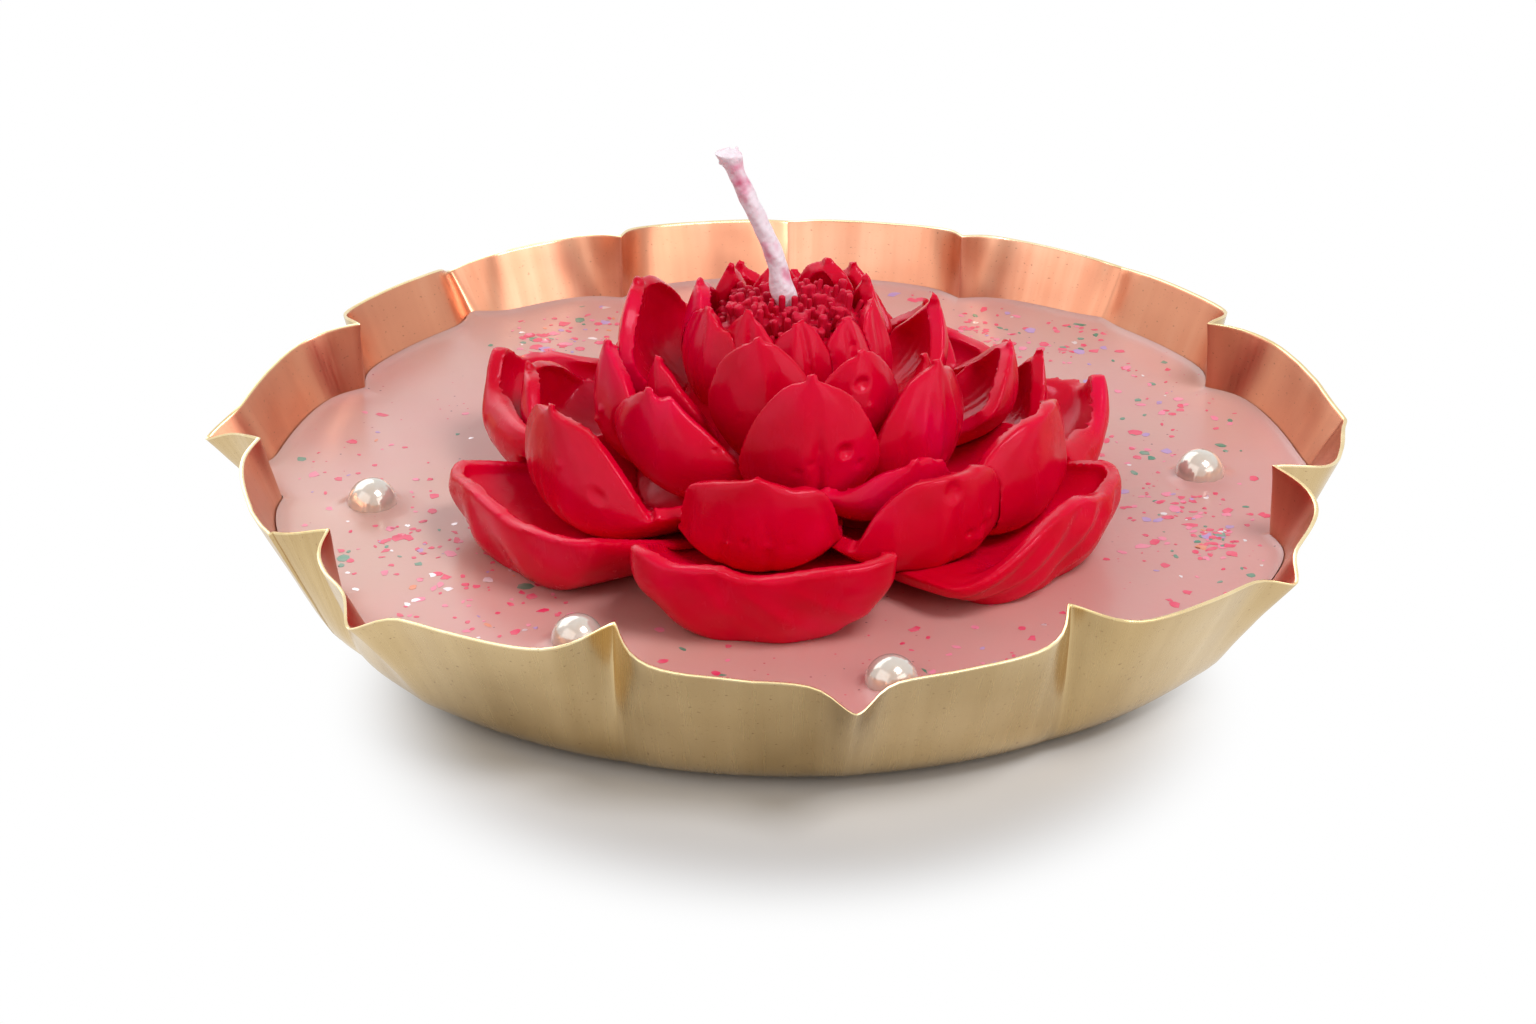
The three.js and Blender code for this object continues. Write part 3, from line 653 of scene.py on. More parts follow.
# %% Nacre
def nacre_coat():
    material, shader = new_material(
        "nacre coat on glass beads", IOR=1.53, Metallic=0.35, Roughness=0.16,
        Coat_Weight=1.0, Coat_Roughness=0.04,
        Subsurface_Weight=0.15, Subsurface_Scale=1.0 * MM, Subsurface_Radius=(1.0, 0.8, 0.7),
    )
    place = add_node(material, "TexCoord", output="Object")
    # Layers of coat vary over 2 mm, and grazing light shows them cooler and greener
    layers = patterned(material, place, 500, 2)
    tone = add_node(material, "ValToRGB", [layers], stops=[
        (0.35, "#CDBBAA"), (0.55, "#D0C4B8"), (0.75, "#CEB9AC")])
    edge = add_node(material, "LayerWeight", {"Blend": 0.35}, output="Facing")
    feed(material, shader, {
        "Base Color": blended(material, edge, tone, colour("#DDE3DC")),
        "Normal": bumps(material, (patterned(material, place, 900, 3), 0.015, 1)),
    })
    return material


NACRE = nacre_coat()
print("material:", NACRE.name)

# %% The beads
DRILL_RADIUS, DRILL_LENGTH, MOUTH_ROUND = 0.5, 8, 0.08
DRILL_TURN = (math.radians(-58), 0, math.radians(12))
for name, place in PEARLS.items():
    centre = pearl_centre(*place) * MM
    drill = primitive(
        bpy.ops.mesh.primitive_cylinder_add, vertices=20, radius=DRILL_RADIUS * MM,
        depth=DRILL_LENGTH * MM, location=centre, rotation=DRILL_TURN)
    bead = primitive(
        bpy.ops.mesh.primitive_uv_sphere_add, segments=64, ring_count=40,
        radius=(PEARL_RADIUS - 0.01) * MM, location=centre)
    apply(bead, "BOOLEAN", operation="DIFFERENCE", solver="EXACT", object=drill)
    bpy.data.objects.remove(drill)
    round_edges(bead, MOUTH_ROUND)
    finish_with(bead, NACRE)
    settle(bead, f"bead_{name}", "pearl", f"pearl_{name}", crease=30)
print("beads:", len(PEARLS))

# %% [markdown]
# ## Petals
#
# Each petal is formed from its own sheet of warm wax. Two kinds make the flower. The
# upper four rings are leaves: they follow a spine that leaves the core and curls up to
# the tip, and they are cupped across it. The outer ring's are boats: bowls with a level
# rim, pressed flat on the bed. Neither is a bend that an operator makes, so a slab (a
# grid with a solid thickness) is shaped by the rules of its kind, with ridges and folds
# pressed in.
#
# The flower is built from its middle outwards. Each petal is trimmed to the ones that
# it leans on with a boolean, and a voxel remesh then softens its lips and cut edges, as
# warm fingers do.

# %% The rings and their petals
FLOWER_BASE = WAX_TOP + 0.3
CORE_HEIGHT = FLOWER_HEIGHT - 6.7
CORE_FOOT, CORE_TOP = 0.506 * FLOWER_RADIUS, 0.207 * FLOWER_RADIUS
# Thickness of a petal at its edge and in its middle, and of a boat's edge
LIP, WALL, BOAT_LIP = 1.6, 2.3, 1.35
# The spine from its root to the tip, as shares and in degrees, then the cup across it
RINGS = {
    "bud": dict(root=0.24, start=0.36, leave=55, arrive=112, pull=0.45, lift=0.45,
                cup=60, cup_tip=50, widest=0.5, root_width=0.75),
    "fourth": dict(root=0.26, start=0.24, leave=30, arrive=108, pull=0.5, lift=0.5,
                   cup=62, cup_tip=50, widest=0.55, root_width=0.6),
    "third": dict(root=0.33, start=0.13, leave=12, arrive=106, pull=0.6, lift=0.5,
                  cup=62, cup_tip=46, widest=0.6, root_width=0.7),
    "second": dict(root=0.38, start=0.03, leave=0, arrive=96, pull=0.82, lift=0.5,
                   cup=64, cup_tip=40, widest=0.62, root_width=0.72),
}
# Bearing in degrees, then shares: sideways drift, reach, height, half width, how pointed
PETALS = {
    "bud": [
        (277, 0, 0.24, 0.905, 0.12, 0.55), (242, 0, 0.235, 0.93, 0.13, 0.55),
        (313, 0, 0.24, 0.89, 0.125, 0.6), (211, 0, 0.27, 0.895, 0.18, 0.35), (345, 0, 0.25, 0.9, 0.13, 0.5),
        (172, 0, 0.26, 0.93, 0.15, 0.4), (22, 0, 0.25, 0.9, 0.13, 0.5), (60, 0, 0.23, 0.93, 0.13, 0.4),
        (98, 0, 0.24, 0.9, 0.11, 0.6), (135, 0, 0.24, 0.91, 0.11, 0.6),
    ],
    "fourth": [
        (260, -0.02, 0.385, 0.91, 0.16, 0.34), (301, 0, 0.4, 0.84, 0.155, 0.38),
        (215, -0.03, 0.43, 0.74, 0.13, 0.7), (160, 0.03, 0.46, 0.88, 0.24, 0.4),
        (20, 0, 0.46, 0.78, 0.17, 0.7), (64, 0, 0.44, 0.8, 0.16, 0.7), (110, 0, 0.42, 0.8, 0.17, 0.7),
        (340, 0, 0.42, 0.7, 0.12, 0.8),
    ],
    "third": [
        (277, 0, 0.55, 0.85, 0.2, 0.38), (231, -0.05, 0.56, 0.71, 0.23, 0.5),
        (318, 0.04, 0.53, 0.79, 0.2, 0.5), (194, -0.03, 0.53, 0.73, 0.2, 0.5),
        (4, 0, 0.65, 0.65, 0.2, 0.55), (46, 0, 0.6, 0.6, 0.18, 0.7), (88, 0, 0.56, 0.66, 0.18, 0.6),
        (135, 0, 0.56, 0.64, 0.18, 0.6), (294, 0.08, 0.68, 0.52, 0.2, 0.4),
    ],
    "second": [
        (263, 0, 0.74, 0.49, 0.235, 0.12), (301, 0.02, 0.83, 0.5, 0.255, 0.15),
        (217, -0.11, 0.76, 0.62, 0.3, 0.45), (330, 0.04, 0.82, 0.58, 0.32, 0.25),
        (16, 0, 0.78, 0.5, 0.17, 0.6), (168, 0, 0.79, 0.47, 0.26, 0.45), (38, -0.05, 0.8, 0.4, 0.17, 0.7),
        (76, 0, 0.78, 0.48, 0.24, 0.5), (122, 0, 0.76, 0.5, 0.24, 0.5),
    ],
}
# Bearing, then shares: drift, reach, rim height, half width, bow length, peak of the bow
BOATS = [
    (266, 0, 1.04, 0.34, 0.355, 0.13, -0.08), (214, 0, 1, 0.29, 0.365, 0.12, 0),
    (321, 0, 1.01, 0.3, 0.385, 0.15, 0.1), (168, -0.13, 0.92, 0.33, 0.29, 0.28, 0.35),
    (1, 0.16, 0.93, 0.3, 0.28, 0.28, 0.35), (60, 0, 0.9, 0.25, 0.32, 0.2, 0.15),
    (108, 0, 0.9, 0.25, 0.32, 0.2, 0.15),
]
# Petals that were pressed otherwise than the rest of their ring
FORMS = {
    "bud_petal_4": dict(cup=48, cup_tip=42), "fourth_petal_1": dict(widest=0.6, root_width=0.75),
    "fourth_petal_4": dict(cup=34, cup_tip=30, widest=0.6), "fourth_petal_5": dict(cup=50, cup_tip=44),
    "third_petal_4": dict(cup=50, cup_tip=44), "second_petal_1": dict(pull=0.9, widest=0.55, root_width=0.9),
    "second_petal_2": dict(pull=0.92, cup=50, widest=0.5, root_width=0.95),
    "second_petal_3": dict(pull=0.95, arrive=100, cup=56, widest=0.6, root_width=1.0),
    "second_petal_4": dict(pull=0.95, widest=0.5, root_width=0.95),
    "outer_petal_1": dict(squat=0.78, fall=0.95), "outer_petal_2": dict(squat=0.84, fall=0.75),
    "outer_petal_3": dict(squat=0.84, fall=0.6),
    "outer_petal_4": dict(sweep=106, squat=0.72, fall=0.7),
    "outer_petal_5": dict(sweep=106, squat=0.72, fall=0.7),
}
print("petals:", {ring: len(petals) for ring, petals in PETALS.items()}, "and boats:", len(BOATS))


def at_bearing(at, out, sideways, up):
    bearing = math.radians(at)
    return np.stack([
        out * math.cos(bearing) - sideways * math.sin(bearing),
        out * math.sin(bearing) + sideways * math.cos(bearing) - FLOWER_OFFSET,
        FLOWER_BASE + up,
    ], 1)


def hump(value, place, width):
    """A soft bump of height 1 at a place."""
    return np.exp(-(((value - place) / width) ** 2))


# %% The rule of a leaf
# A leaf's blade ends at this share of its spine, and the rest is the nib where it was
# pinched off. A blunt leaf has no nib.
BLADE_END, NIB, BLUNT = 0.975, 0.7, 0.3


def leaf_points(node, petal, u, s, side, grow=0.0, marks=None):
    """Points of a leaf: u from edge to edge, s from root to tip, side 0 out and 1 in."""
    ring = {**RINGS[node.split("_")[0]], **FORMS.get(node, {})}
    at, drift, reach, height, width, point = petal
    v = np.sin(math.pi / 2 * s)
    root = np.array([ring["root"] * FLOWER_RADIUS, ring["start"] * FLOWER_HEIGHT])
    tip = np.array([reach * FLOWER_RADIUS, height * FLOWER_HEIGHT])
    span = np.linalg.norm(tip - root)
    leave, arrive = math.radians(ring["leave"]), math.radians(ring["arrive"])
    leaving = root + span * ring["pull"] * np.array([math.cos(leave), math.sin(leave)])
    arriving = tip - span * ring["lift"] * np.array([math.cos(arrive), math.sin(arrive)])
    t = v[:, None]
    left = 1 - t
    centre = left ** 3 * root + 3 * left ** 2 * t * leaving + 3 * left * t ** 2 * arriving + t ** 3 * tip
    heading = left ** 2 * (leaving - root) + 2 * left * t * (arriving - leaving)
    heading = heading + t ** 2 * (tip - arriving)
    heading /= np.linalg.norm(heading, axis=1)[:, None]
    centre = centre + heading * grow * ((s > 0.999).astype(float) - (s < 0.001))[:, None]
    inward = np.stack([-heading[:, 1], heading[:, 0]], 1)
    pointed = point > BLUNT
    swell = ring["root_width"] + (1 - ring["root_width"]) * np.sin(math.pi / 2 * v / ring["widest"])
    blade_end = BLADE_END if pointed else 1.0
    to_tip = np.clip((v - ring["widest"]) / (blade_end - ring["widest"]), 0, 1)
    taper = np.maximum(np.cos(math.pi / 2 * to_tip), 0) ** point
    full = width * FLOWER_RADIUS
    half = full * np.where(v < ring["widest"], swell, taper)
    half = (half ** 3 + NIB ** 3) ** (1 / 3) if pointed else np.maximum(half, LIP / 2)
    arc = np.radians(ring["cup"] + (ring["cup_tip"] - ring["cup"]) * v)
    radius = half / np.sin(arc)
    spread = arc * (1 + grow / (radius * arc))
    wall = np.minimum(LIP + (WALL - LIP) * (1 - v ** 3) * (1 - u * u), radius * 0.9)
    depth = np.where(side > 0.5, wall + grow, -grow)
    if marks:
        pressed, raised = marks(u, v, u * half / full, half, side)
        depth = depth + pressed
        centre = centre + heading * raised[:, None]
    lift = radius - (radius - depth) * np.cos(u * spread)
    sideways = (radius - depth) * np.sin(u * spread) + drift * FLOWER_RADIUS * v ** 2
    out, up = (centre + inward * lift[:, None]).T
    return at_bearing(at, out, sideways, up)


# %% The rule of a boat
def boat_points(node, petal, u, s, side, grow=0.0, marks=None):
    """Points of a boat: u across, s from stern to bow, side 0 out and 1 in."""
    at, drift, reach, height, width, bow, peak = petal
    form = {"sweep": 96, "fall": 0.55, "keel": 0.08, "squat": 1.05, **FORMS.get(node, {})}
    sweep, v = math.radians(form["sweep"]), 2 * s - 1
    bow_length = bow * FLOWER_RADIUS
    centre = reach * FLOWER_RADIUS - bow_length
    stern = 0.42 * FLOWER_RADIUS - centre
    ahead = np.maximum(v, 0)
    x, y = u * np.sqrt(1 - ahead ** 2 / 2), ahead * np.sqrt(1 - u ** 2 / 2)
    rho = np.maximum(np.hypot(x, y), 1e-9)
    push = np.sin(rho * sweep) / math.sin(sweep) / rho
    rise = ((1 - np.cos(rho * sweep)) / (1 - math.cos(sweep))) ** form["squat"]
    narrow = 1 - 0.25 * np.minimum(v, 0) ** 2
    fall = 1 - form["fall"] * np.maximum(-v, 0)
    crest = peak * np.exp(-((x / 0.35) ** 2)) * y ** 3
    wall = BOAT_LIP + (WALL - BOAT_LIP) * (1 - u * u) * (1 - ahead ** 2)
    inset = np.where(side > 0.5, wall + grow, -grow)
    rim = height * FLOWER_HEIGHT * (fall + crest) + grow
    if marks:
        pressed, raised = marks(x, y, v, rho, side)
        inset, rim = inset + pressed, rim + raised
    floor = np.where(side > 0.5, inset, inset - form["keel"] * FLOWER_HEIGHT)
    out = np.where(v < 0, centre + (stern - grow) * -v, centre + (bow_length - inset) * y * push)
    sideways = (width * FLOWER_RADIUS * narrow - inset) * x * push + drift * FLOWER_RADIUS * ahead ** 2
    return at_bearing(at, out, sideways, floor + (rim - floor) * rise)


# %% [markdown]
# ## What the mould and the fingers leave
#
# A leaf is smooth and full, with a rolled lip, soft ridges inside and an edge that is
# never quite even. Some have marks of their own: creases where they were folded, flutes
# that run up their backs, a round dent from a bubble, or knobs and notches in the rim.
# Boats have slanting folds down their hulls, where the warm wax was drawn together, and
# a rim with small waves. What isn't listed comes from one seeded generator, so that
# every run gives the same flower.


# %% Marks of leaves
# Creases and flutes: place across, depth in mm (raised if negative), width in mm, and
# the stretch from root to tip that they run along
CREASES = {
    "third_petal_1": [(0.06, 0.6, 0.42, 0.35, 0.78), (-0.12, -0.2, 0.7, 0.3, 0.75)],
    "third_petal_2": [(-0.82, 0.3, 0.4, 0.5, 0.92), (0.1, -0.15, 1.2, 0.4, 0.85)],
    "third_petal_3": [(-0.35, -0.4, 0.5, 0.45, 0.85), (-0.08, -0.45, 0.5, 0.45, 0.9),
                      (0.22, -0.4, 0.5, 0.45, 0.9), (-0.56, 0.4, 0.35, 0.4, 0.78)],
    "third_petal_4": [(0.1, -0.3, 0.8, 0.5, 0.95), (-0.3, 0.25, 0.5, 0.5, 0.9)],
    "third_petal_5": [(-0.4, 0.25, 0.6, 0.3, 0.9)],
    "bud_petal_1": [(0.22, 0.6, 0.25, 0.3, 0.97), (-0.2, -0.25, 0.5, 0.4, 0.95)],
    "bud_petal_2": [(0.2, 0.45, 0.3, 0.4, 0.95), (-0.2, -0.2, 0.4, 0.4, 0.9)],
    "bud_petal_3": [(0.1, -0.35, 0.35, 0.4, 0.97), (-0.15, 0.35, 0.3, 0.4, 0.92)],
    "bud_petal_4": [(-0.3, 0.35, 0.4, 0.4, 0.95), (0.3, -0.3, 0.5, 0.4, 0.95)],
    "bud_petal_5": [(-0.4, 0.5, 0.3, 0.4, 0.97), (0.0, -0.3, 0.4, 0.4, 0.95)],
    "fourth_petal_1": [(0.15, -0.2, 0.35, 0.55, 0.88), (0.28, 0.2, 0.3, 0.5, 0.85)],
    "fourth_petal_2": [(-0.5, 0.25, 0.5, 0.4, 0.85)],
    "fourth_petal_3": [(0.2, -0.25, 0.5, 0.5, 0.95)],
    "fourth_petal_4": [(0.3, 0.15, 1.2, 0.3, 0.8)],
    "second_petal_1": [(-0.9, 1.1, 0.9, 0.6, 0.84), (-0.35, 0.4, 0.5, 0.4, 0.76),
                       (0.15, 0.45, 0.5, 0.4, 0.8), (0.88, 0.5, 0.6, 0.6, 0.86)],
    "second_petal_2": [(-0.1, -0.35, 1.3, 0.5, 0.9), (0.45, -0.3, 0.9, 0.5, 0.9),
                       (0.15, 0.3, 0.8, 0.5, 0.9)],
    "second_petal_3": [(-0.84, 0.5, 0.4, 0.5, 0.97), (-0.66, 0.35, 0.4, 0.5, 0.95),
                       (-0.4, 0.35, 0.5, 0.4, 0.66), (-0.2, 0.4, 0.5, 0.4, 0.68),
                       (0.05, 0.35, 0.5, 0.4, 0.62)],
    "second_petal_4": [(0.45, -0.3, 0.9, 0.5, 0.95), (0.62, 0.25, 0.5, 0.5, 0.95)],
}
# Knobs and notches of the rim: place across, height in mm (a notch if negative), width
RIM_MARKS = {
    "second_petal_1": [(-0.9, 1.3, 0.13), (-0.5, -0.4, 0.2), (0.05, 1.0, 0.16), (0.5, -0.5, 0.25),
                       (0.93, 0.5, 0.12)],
    "second_petal_2": [(-0.95, -2.2, 0.4), (-0.25, 0.7, 0.25), (0.8, 0.8, 0.15), (0.3, -0.2, 0.15)],
    "third_petal_2": [(0.17, -0.9, 0.06), (0.27, 0.5, 0.1)],
    "third_petal_9": [(0.3, 0.9, 0.2), (0.62, 1.3, 0.12), (0.46, -0.3, 0.08), (-0.8, -1.0, 0.4)],
    "fourth_petal_4": [(-0.4, 0.4, 0.3)],
    "bud_petal_1": [(0.0, -0.5, 0.12), (0.4, 0.4, 0.2)],
    "bud_petal_4": [(0.35, -1.1, 0.12), (0.6, 0.4, 0.15)],
    "bud_petal_2": [(0.5, -0.8, 0.15)],
    "second_petal_6": [(0.45, 0.7, 0.3), (-0.3, 0.4, 0.2)],
}
# Round dents, or blobs if negative: place across, place along, radius and depth in mm
DENTS = {
    "third_petal_1": [(0.42, 0.69, 0.85, 0.75), (-0.03, 0.64, 0.45, 0.4),
                      (-0.2, 0.6, 0.5, 0.35), (0.62, 0.6, 0.6, 0.45)],
    "third_petal_2": [(0.9, 0.76, 0.45, 0.9)],
    "third_petal_3": [(0.3, 0.56, 0.6, 0.5), (0.08, 0.5, 0.5, -0.5), (0.45, 0.62, 0.5, -0.4)],
    "third_petal_4": [(0, 0.73, 0.7, 0.6), (0.25, 0.68, 0.5, -0.6), (-0.2, 0.66, 0.5, 0.6),
                      (0.1, 0.6, 0.6, -0.5)],
    "fourth_petal_1": [(0.4, 0.66, 0.5, 0.3), (-0.3, 0.6, 0.5, 0.25)],
    "fourth_petal_2": [(-0.1, 0.84, 0.85, 0.6), (0.05, 0.7, 0.5, -0.3)],
    "second_petal_1": [(-0.3, 0.71, 0.4, -0.5), (-0.1, 0.72, 0.4, 0.5), (0.15, 0.7, 0.45, -0.5),
                       (0.4, 0.72, 0.4, 0.5)],
    "second_petal_2": [(0.05, 0.95, 1.0, 0.4), (0.28, 0.74, 0.6, 0.6), (0.48, 0.76, 0.5, 0.6),
                       (0.62, 0.79, 0.5, -0.5), (0.4, 0.69, 0.7, -0.4)],
    "second_petal_3": [(0.6, 0.72, 1.0, 0.25), (0.2, 0.8, 0.4, -0.3)],
    "bud_petal_3": [(0.0, 0.8, 0.5, 0.3)],
}
# Round dents are reckoned along a spine of this length in mm
SPINE_LENGTH = 26


def leaf_marks(chance, node):
    phase = chance.uniform(0, 6.3, 5)
    creases = CREASES.get(node, [(chance.uniform(-0.4, 0.4), 0.2, 0.6, 0.4, 0.9)])
    rim_marks, dents = RIM_MARKS.get(node, []), DENTS.get(node, [])
    groove_depth = 0.06 if node == "fourth_petal_4" else 0.2

    def marks(u, v, across, half, side):
        fade = np.sin(math.pi * np.clip(v, 0, 1)) ** 0.5
        swells = 0.07 * np.cos(4.2 * u + phase[0]) * fade + 0.06 * np.sin(7 * v + phase[1])
        waves = 0.14 * np.sin(8 * v + phase[1]) * np.abs(u) ** 3
        lines = 0.0
        for place, depth, width, start, end in creases:
            run = 1 / (1 + np.exp(-(v - start) / 0.04)) / (1 + np.exp((v - end) / 0.05))
            lines = lines + depth * hump((u - place) * half, 0, width) * run
        for place, height, radius, depth in dents:
            off = np.hypot((u - place) * half, (v - height) * SPINE_LENGTH)
            raised_ring = 0.25 * depth * hump(off, 1.25 * radius, 0.3 * radius)
            lines = lines + depth * np.exp(-((off / radius) ** 4)) - raised_ring
        from_edge = (1 - np.abs(u)) * half
        lip = hump(from_edge, 0, 0.9) * np.clip(v / 0.4, 0, 1)
        grooves = groove_depth * np.abs(np.cos(math.pi * 5.5 * u + phase[2])) * fade * (1 - u * u)
        raised = 0.25 * np.sin(5 * across + phase[3]) + 0.12 * np.sin(13 * across + phase[4])
        for place, height, width in rim_marks:
            raised = raised + height * hump(across, place, width)
        raised = raised * np.clip((v - 0.6) / 0.4, 0, 1) ** 2
        return np.where(side > 0.5, 0.25 * lip - grooves, lines + waves - swells - 0.12 * lip), raised
    return marks


# %% Marks of boats
# Folds of the hull: place across, width and height in mm, then how much they slant
FOLDS = {
    "outer_petal_1": ([(-0.8, 0.07, 0.6), (-0.5, 0.07, 0.5), (-0.22, 0.07, 0.4), (0.12, 0.06, 0.3),
                       (0.6, 0.1, 0.3)], -0.9),
    "outer_petal_2": ([(-0.72, 0.09, 0.7), (-0.42, 0.07, 0.5), (0.3, 0.1, 0.3)], -0.6),
    "outer_petal_3": ([(-0.35, 0.06, 0.5), (0.02, 0.06, 0.7), (0.34, 0.055, 0.9), (0.6, 0.05, 0.95),
                       (0.83, 0.045, 0.9)], 1.1),
}
COMMON_FOLDS = ([(-0.5, 0.05, 0.35), (0.1, 0.05, 0.3), (0.5, 0.05, 0.4)], 0.7)
# Knobs and dips of the rim: place across, height in mm, width
BOAT_RIMS = {
    "outer_petal_1": [(-0.95, 0.2, 0.12), (-0.72, -0.5, 0.15), (-0.3, 0.35, 0.1), (1.0, 0.5, 0.3),
                      (0.2, -0.3, 0.35)],
    "outer_petal_2": [(-1.0, -1.2, 0.3), (0.1, -0.3, 0.4)],
    "outer_petal_3": [(-1.05, -4.8, 0.45), (0.1, 0.6, 0.3), (1.0, -0.4, 0.2)],
    "outer_petal_4": [(-0.5, -0.8, 0.3), (0.6, -0.8, 0.3)],
    "outer_petal_5": [(-0.6, -0.8, 0.3), (0.5, -0.8, 0.3)],
}


def boat_marks(chance, node):
    phase = chance.uniform(0, 6.3, 5)
    folds, slope = FOLDS.get(node, COMMON_FOLDS)
    knobs = BOAT_RIMS.get(node, [])

    def marks(x, y, v, rho, side):
        along = x + slope * (1 - rho)
        hull = np.clip((1.02 - rho) / 0.2, 0, 1) * np.clip(rho / 0.35, 0, 1)
        bulge = np.zeros_like(x)
        for place, width, height in folds:
            off = along - place
            one_sided = np.where(off > 0, off / width, -off / (4 * width))
            bulge += height * np.exp(-one_sided ** 2)
        bulge += 0.12 * np.sin(7 * x + phase[0]) * np.sin(5 * rho + phase[1])
        # The wax spread into small lobes at the foot of the hull
        bulge += 0.5 * np.sin(13 * x + phase[4]) * hump(rho, 0.55, 0.18) * hump(x, -0.1, 0.5)
        lip = hump(rho, 1, 0.1)
        raised = 0.2 * np.sin(5.2 * x + phase[2]) + 0.06 * np.sin(12.5 * x + phase[3])
        for place, height, width in knobs:
            raised = raised + height * hump(x, place, width)
        return np.where(side > 0.5, 0.3 * lip, -bulge * hull - 0.2 * lip), raised * np.clip(v + 1, 0, 1)
    return marks


# %% Forming, trimming and softening
STUCK = 0.03


def slab(across, along):
    """A grid with a thickness: its points tell edge to edge, root to tip, and side."""
    piece, _, _ = grid(across, along)
    apply(piece, "SOLIDIFY", thickness=1.0, offset=-1.0)
    flat = points_of(piece) * MM
    return piece, flat[:, 0], (flat[:, 1] + 1) / 2, (flat[:, 2] < -0.5).astype(float)


def formed(rule, node, petal, slab_grid, grow=0.0, marks=None):
    """A slab that the rule of its kind has made into a petal."""
    piece, *spots = slab(*slab_grid)
    place_points(piece, rule(node, petal, *spots, grow, marks))
    close_up(piece, 0.002)
    return piece


def box_of(piece):
    points = points_of(piece)
    return points.min(0), points.max(0)


def boxes_meet(one, other):
    return bool(np.all(one[0] < other[1]) and np.all(other[0] < one[1]))


def keep_largest(piece):
    """Keeps the largest body of a piece that a cut has left in several."""
    edit(piece)
    bpy.ops.mesh.separate(type="LOOSE")
    bpy.ops.object.mode_set(mode="OBJECT")
    bodies = sorted(bpy.context.selected_objects, key=lambda body: len(body.data.vertices))
    for body in bodies[:-1]:
        bpy.data.objects.remove(body)
    return bodies[-1]


def trim(piece, cutters):
    mine = box_of(piece)
    for cutter, box in cutters:
        if boxes_meet(mine, box):
            apply(piece, "BOOLEAN", operation="DIFFERENCE", solver="MANIFOLD", object=cutter)
    return keep_largest(piece)


def soften(piece, voxel, rounds, material=RED_WAX):
    """Fuses a piece by a remesh with voxels of a size in mm, and smooths it."""
    apply(piece, "REMESH", mode="VOXEL", voxel_size=voxel * MM)
    apply(piece, "SMOOTH", factor=0.5, iterations=rounds)
    finish_with(piece, material)


# %% [markdown]
# ## The core
#
# Under the petals is a mound of wax that they are joined to. It hardly shows, only dark
# between petals. A disc is extruded and drawn in, step by step, as a potter closes a
# vase, and its shoulders are rounded by a voxel remesh and smoothing.

# %% The mound
core = primitive(
    bpy.ops.mesh.primitive_circle_add, vertices=64, radius=CORE_FOOT * MM, fill_type="NGON",
    location=(0, -FLOWER_OFFSET * MM, (WAX_TOP - 0.05) * MM))
edit(core)
middle = (0, -FLOWER_OFFSET * MM, 0)
# Shares of the foot's radius and of the height that each step reaches
steps = [(0.98, 0.12), (0.8, 0.3), (0.62, 0.5), (0.5, 0.75), (CORE_TOP / CORE_FOOT, 1.0)]
last_reach, last_rise = 1.0, -0.35 / CORE_HEIGHT
for reach_share, rise_share in steps:
    drawn_in = reach_share / last_reach
    lifted = (0, 0, (rise_share - last_rise) * CORE_HEIGHT * MM)
    bpy.ops.mesh.extrude_region_move(TRANSFORM_OT_translate={"value": lifted})
    bpy.ops.transform.resize(value=(drawn_in, drawn_in, 1), center_override=middle)
    last_reach, last_rise = reach_share, rise_share
turn_outwards()
soften(core, voxel=0.6, rounds=3)
settle(core, "core_wax", "red_wax", "flower_core")
print("core faces:", len(core.data.polygons))

# %% [markdown]
# ## Stamens
#
# The heart is a cluster of short wax nubs, like coral: blunt, 0.7 to 1.9 mm thick, lower
# at the back and leaning a little outwards. A nub is a bevelled peg, made again in rings
# with its own lean and height, and all of them are fused to a low bed.

# %% A nub and its copies
CLUSTER_REACH = CORE_TOP - 1.5
CLUSTER_FOOT = FLOWER_BASE + CORE_HEIGHT + 0.3
chance = np.random.default_rng(4)


def round_the_flower(bearing, out, height):
    """A point at a bearing round the flower's axis."""
    return out * math.cos(bearing), out * math.sin(bearing) - FLOWER_OFFSET, height


def peg(radius, length, foot, lean, bearing):
    """A blunt peg that stands on its foot and leans outwards."""
    piece = primitive(
        bpy.ops.mesh.primitive_cylinder_add, vertices=14, radius=radius * MM, depth=length * MM,
        location=(0, 0, length / 2 * MM))
    round_edges(piece, 0.35 * radius)
    piece.rotation_euler = (0, lean, bearing)
    piece.location = [c * MM for c in foot]
    pick(piece)
    bpy.ops.object.transform_apply(location=True, rotation=True, scale=True)
    return piece


# Rings of nubs: reach as a share of the cluster's, and how many
NUB_RINGS = ((0.28, 8), (0.45, 15), (0.62, 21), (0.79, 25), (0.95, 29), (1.08, 33))
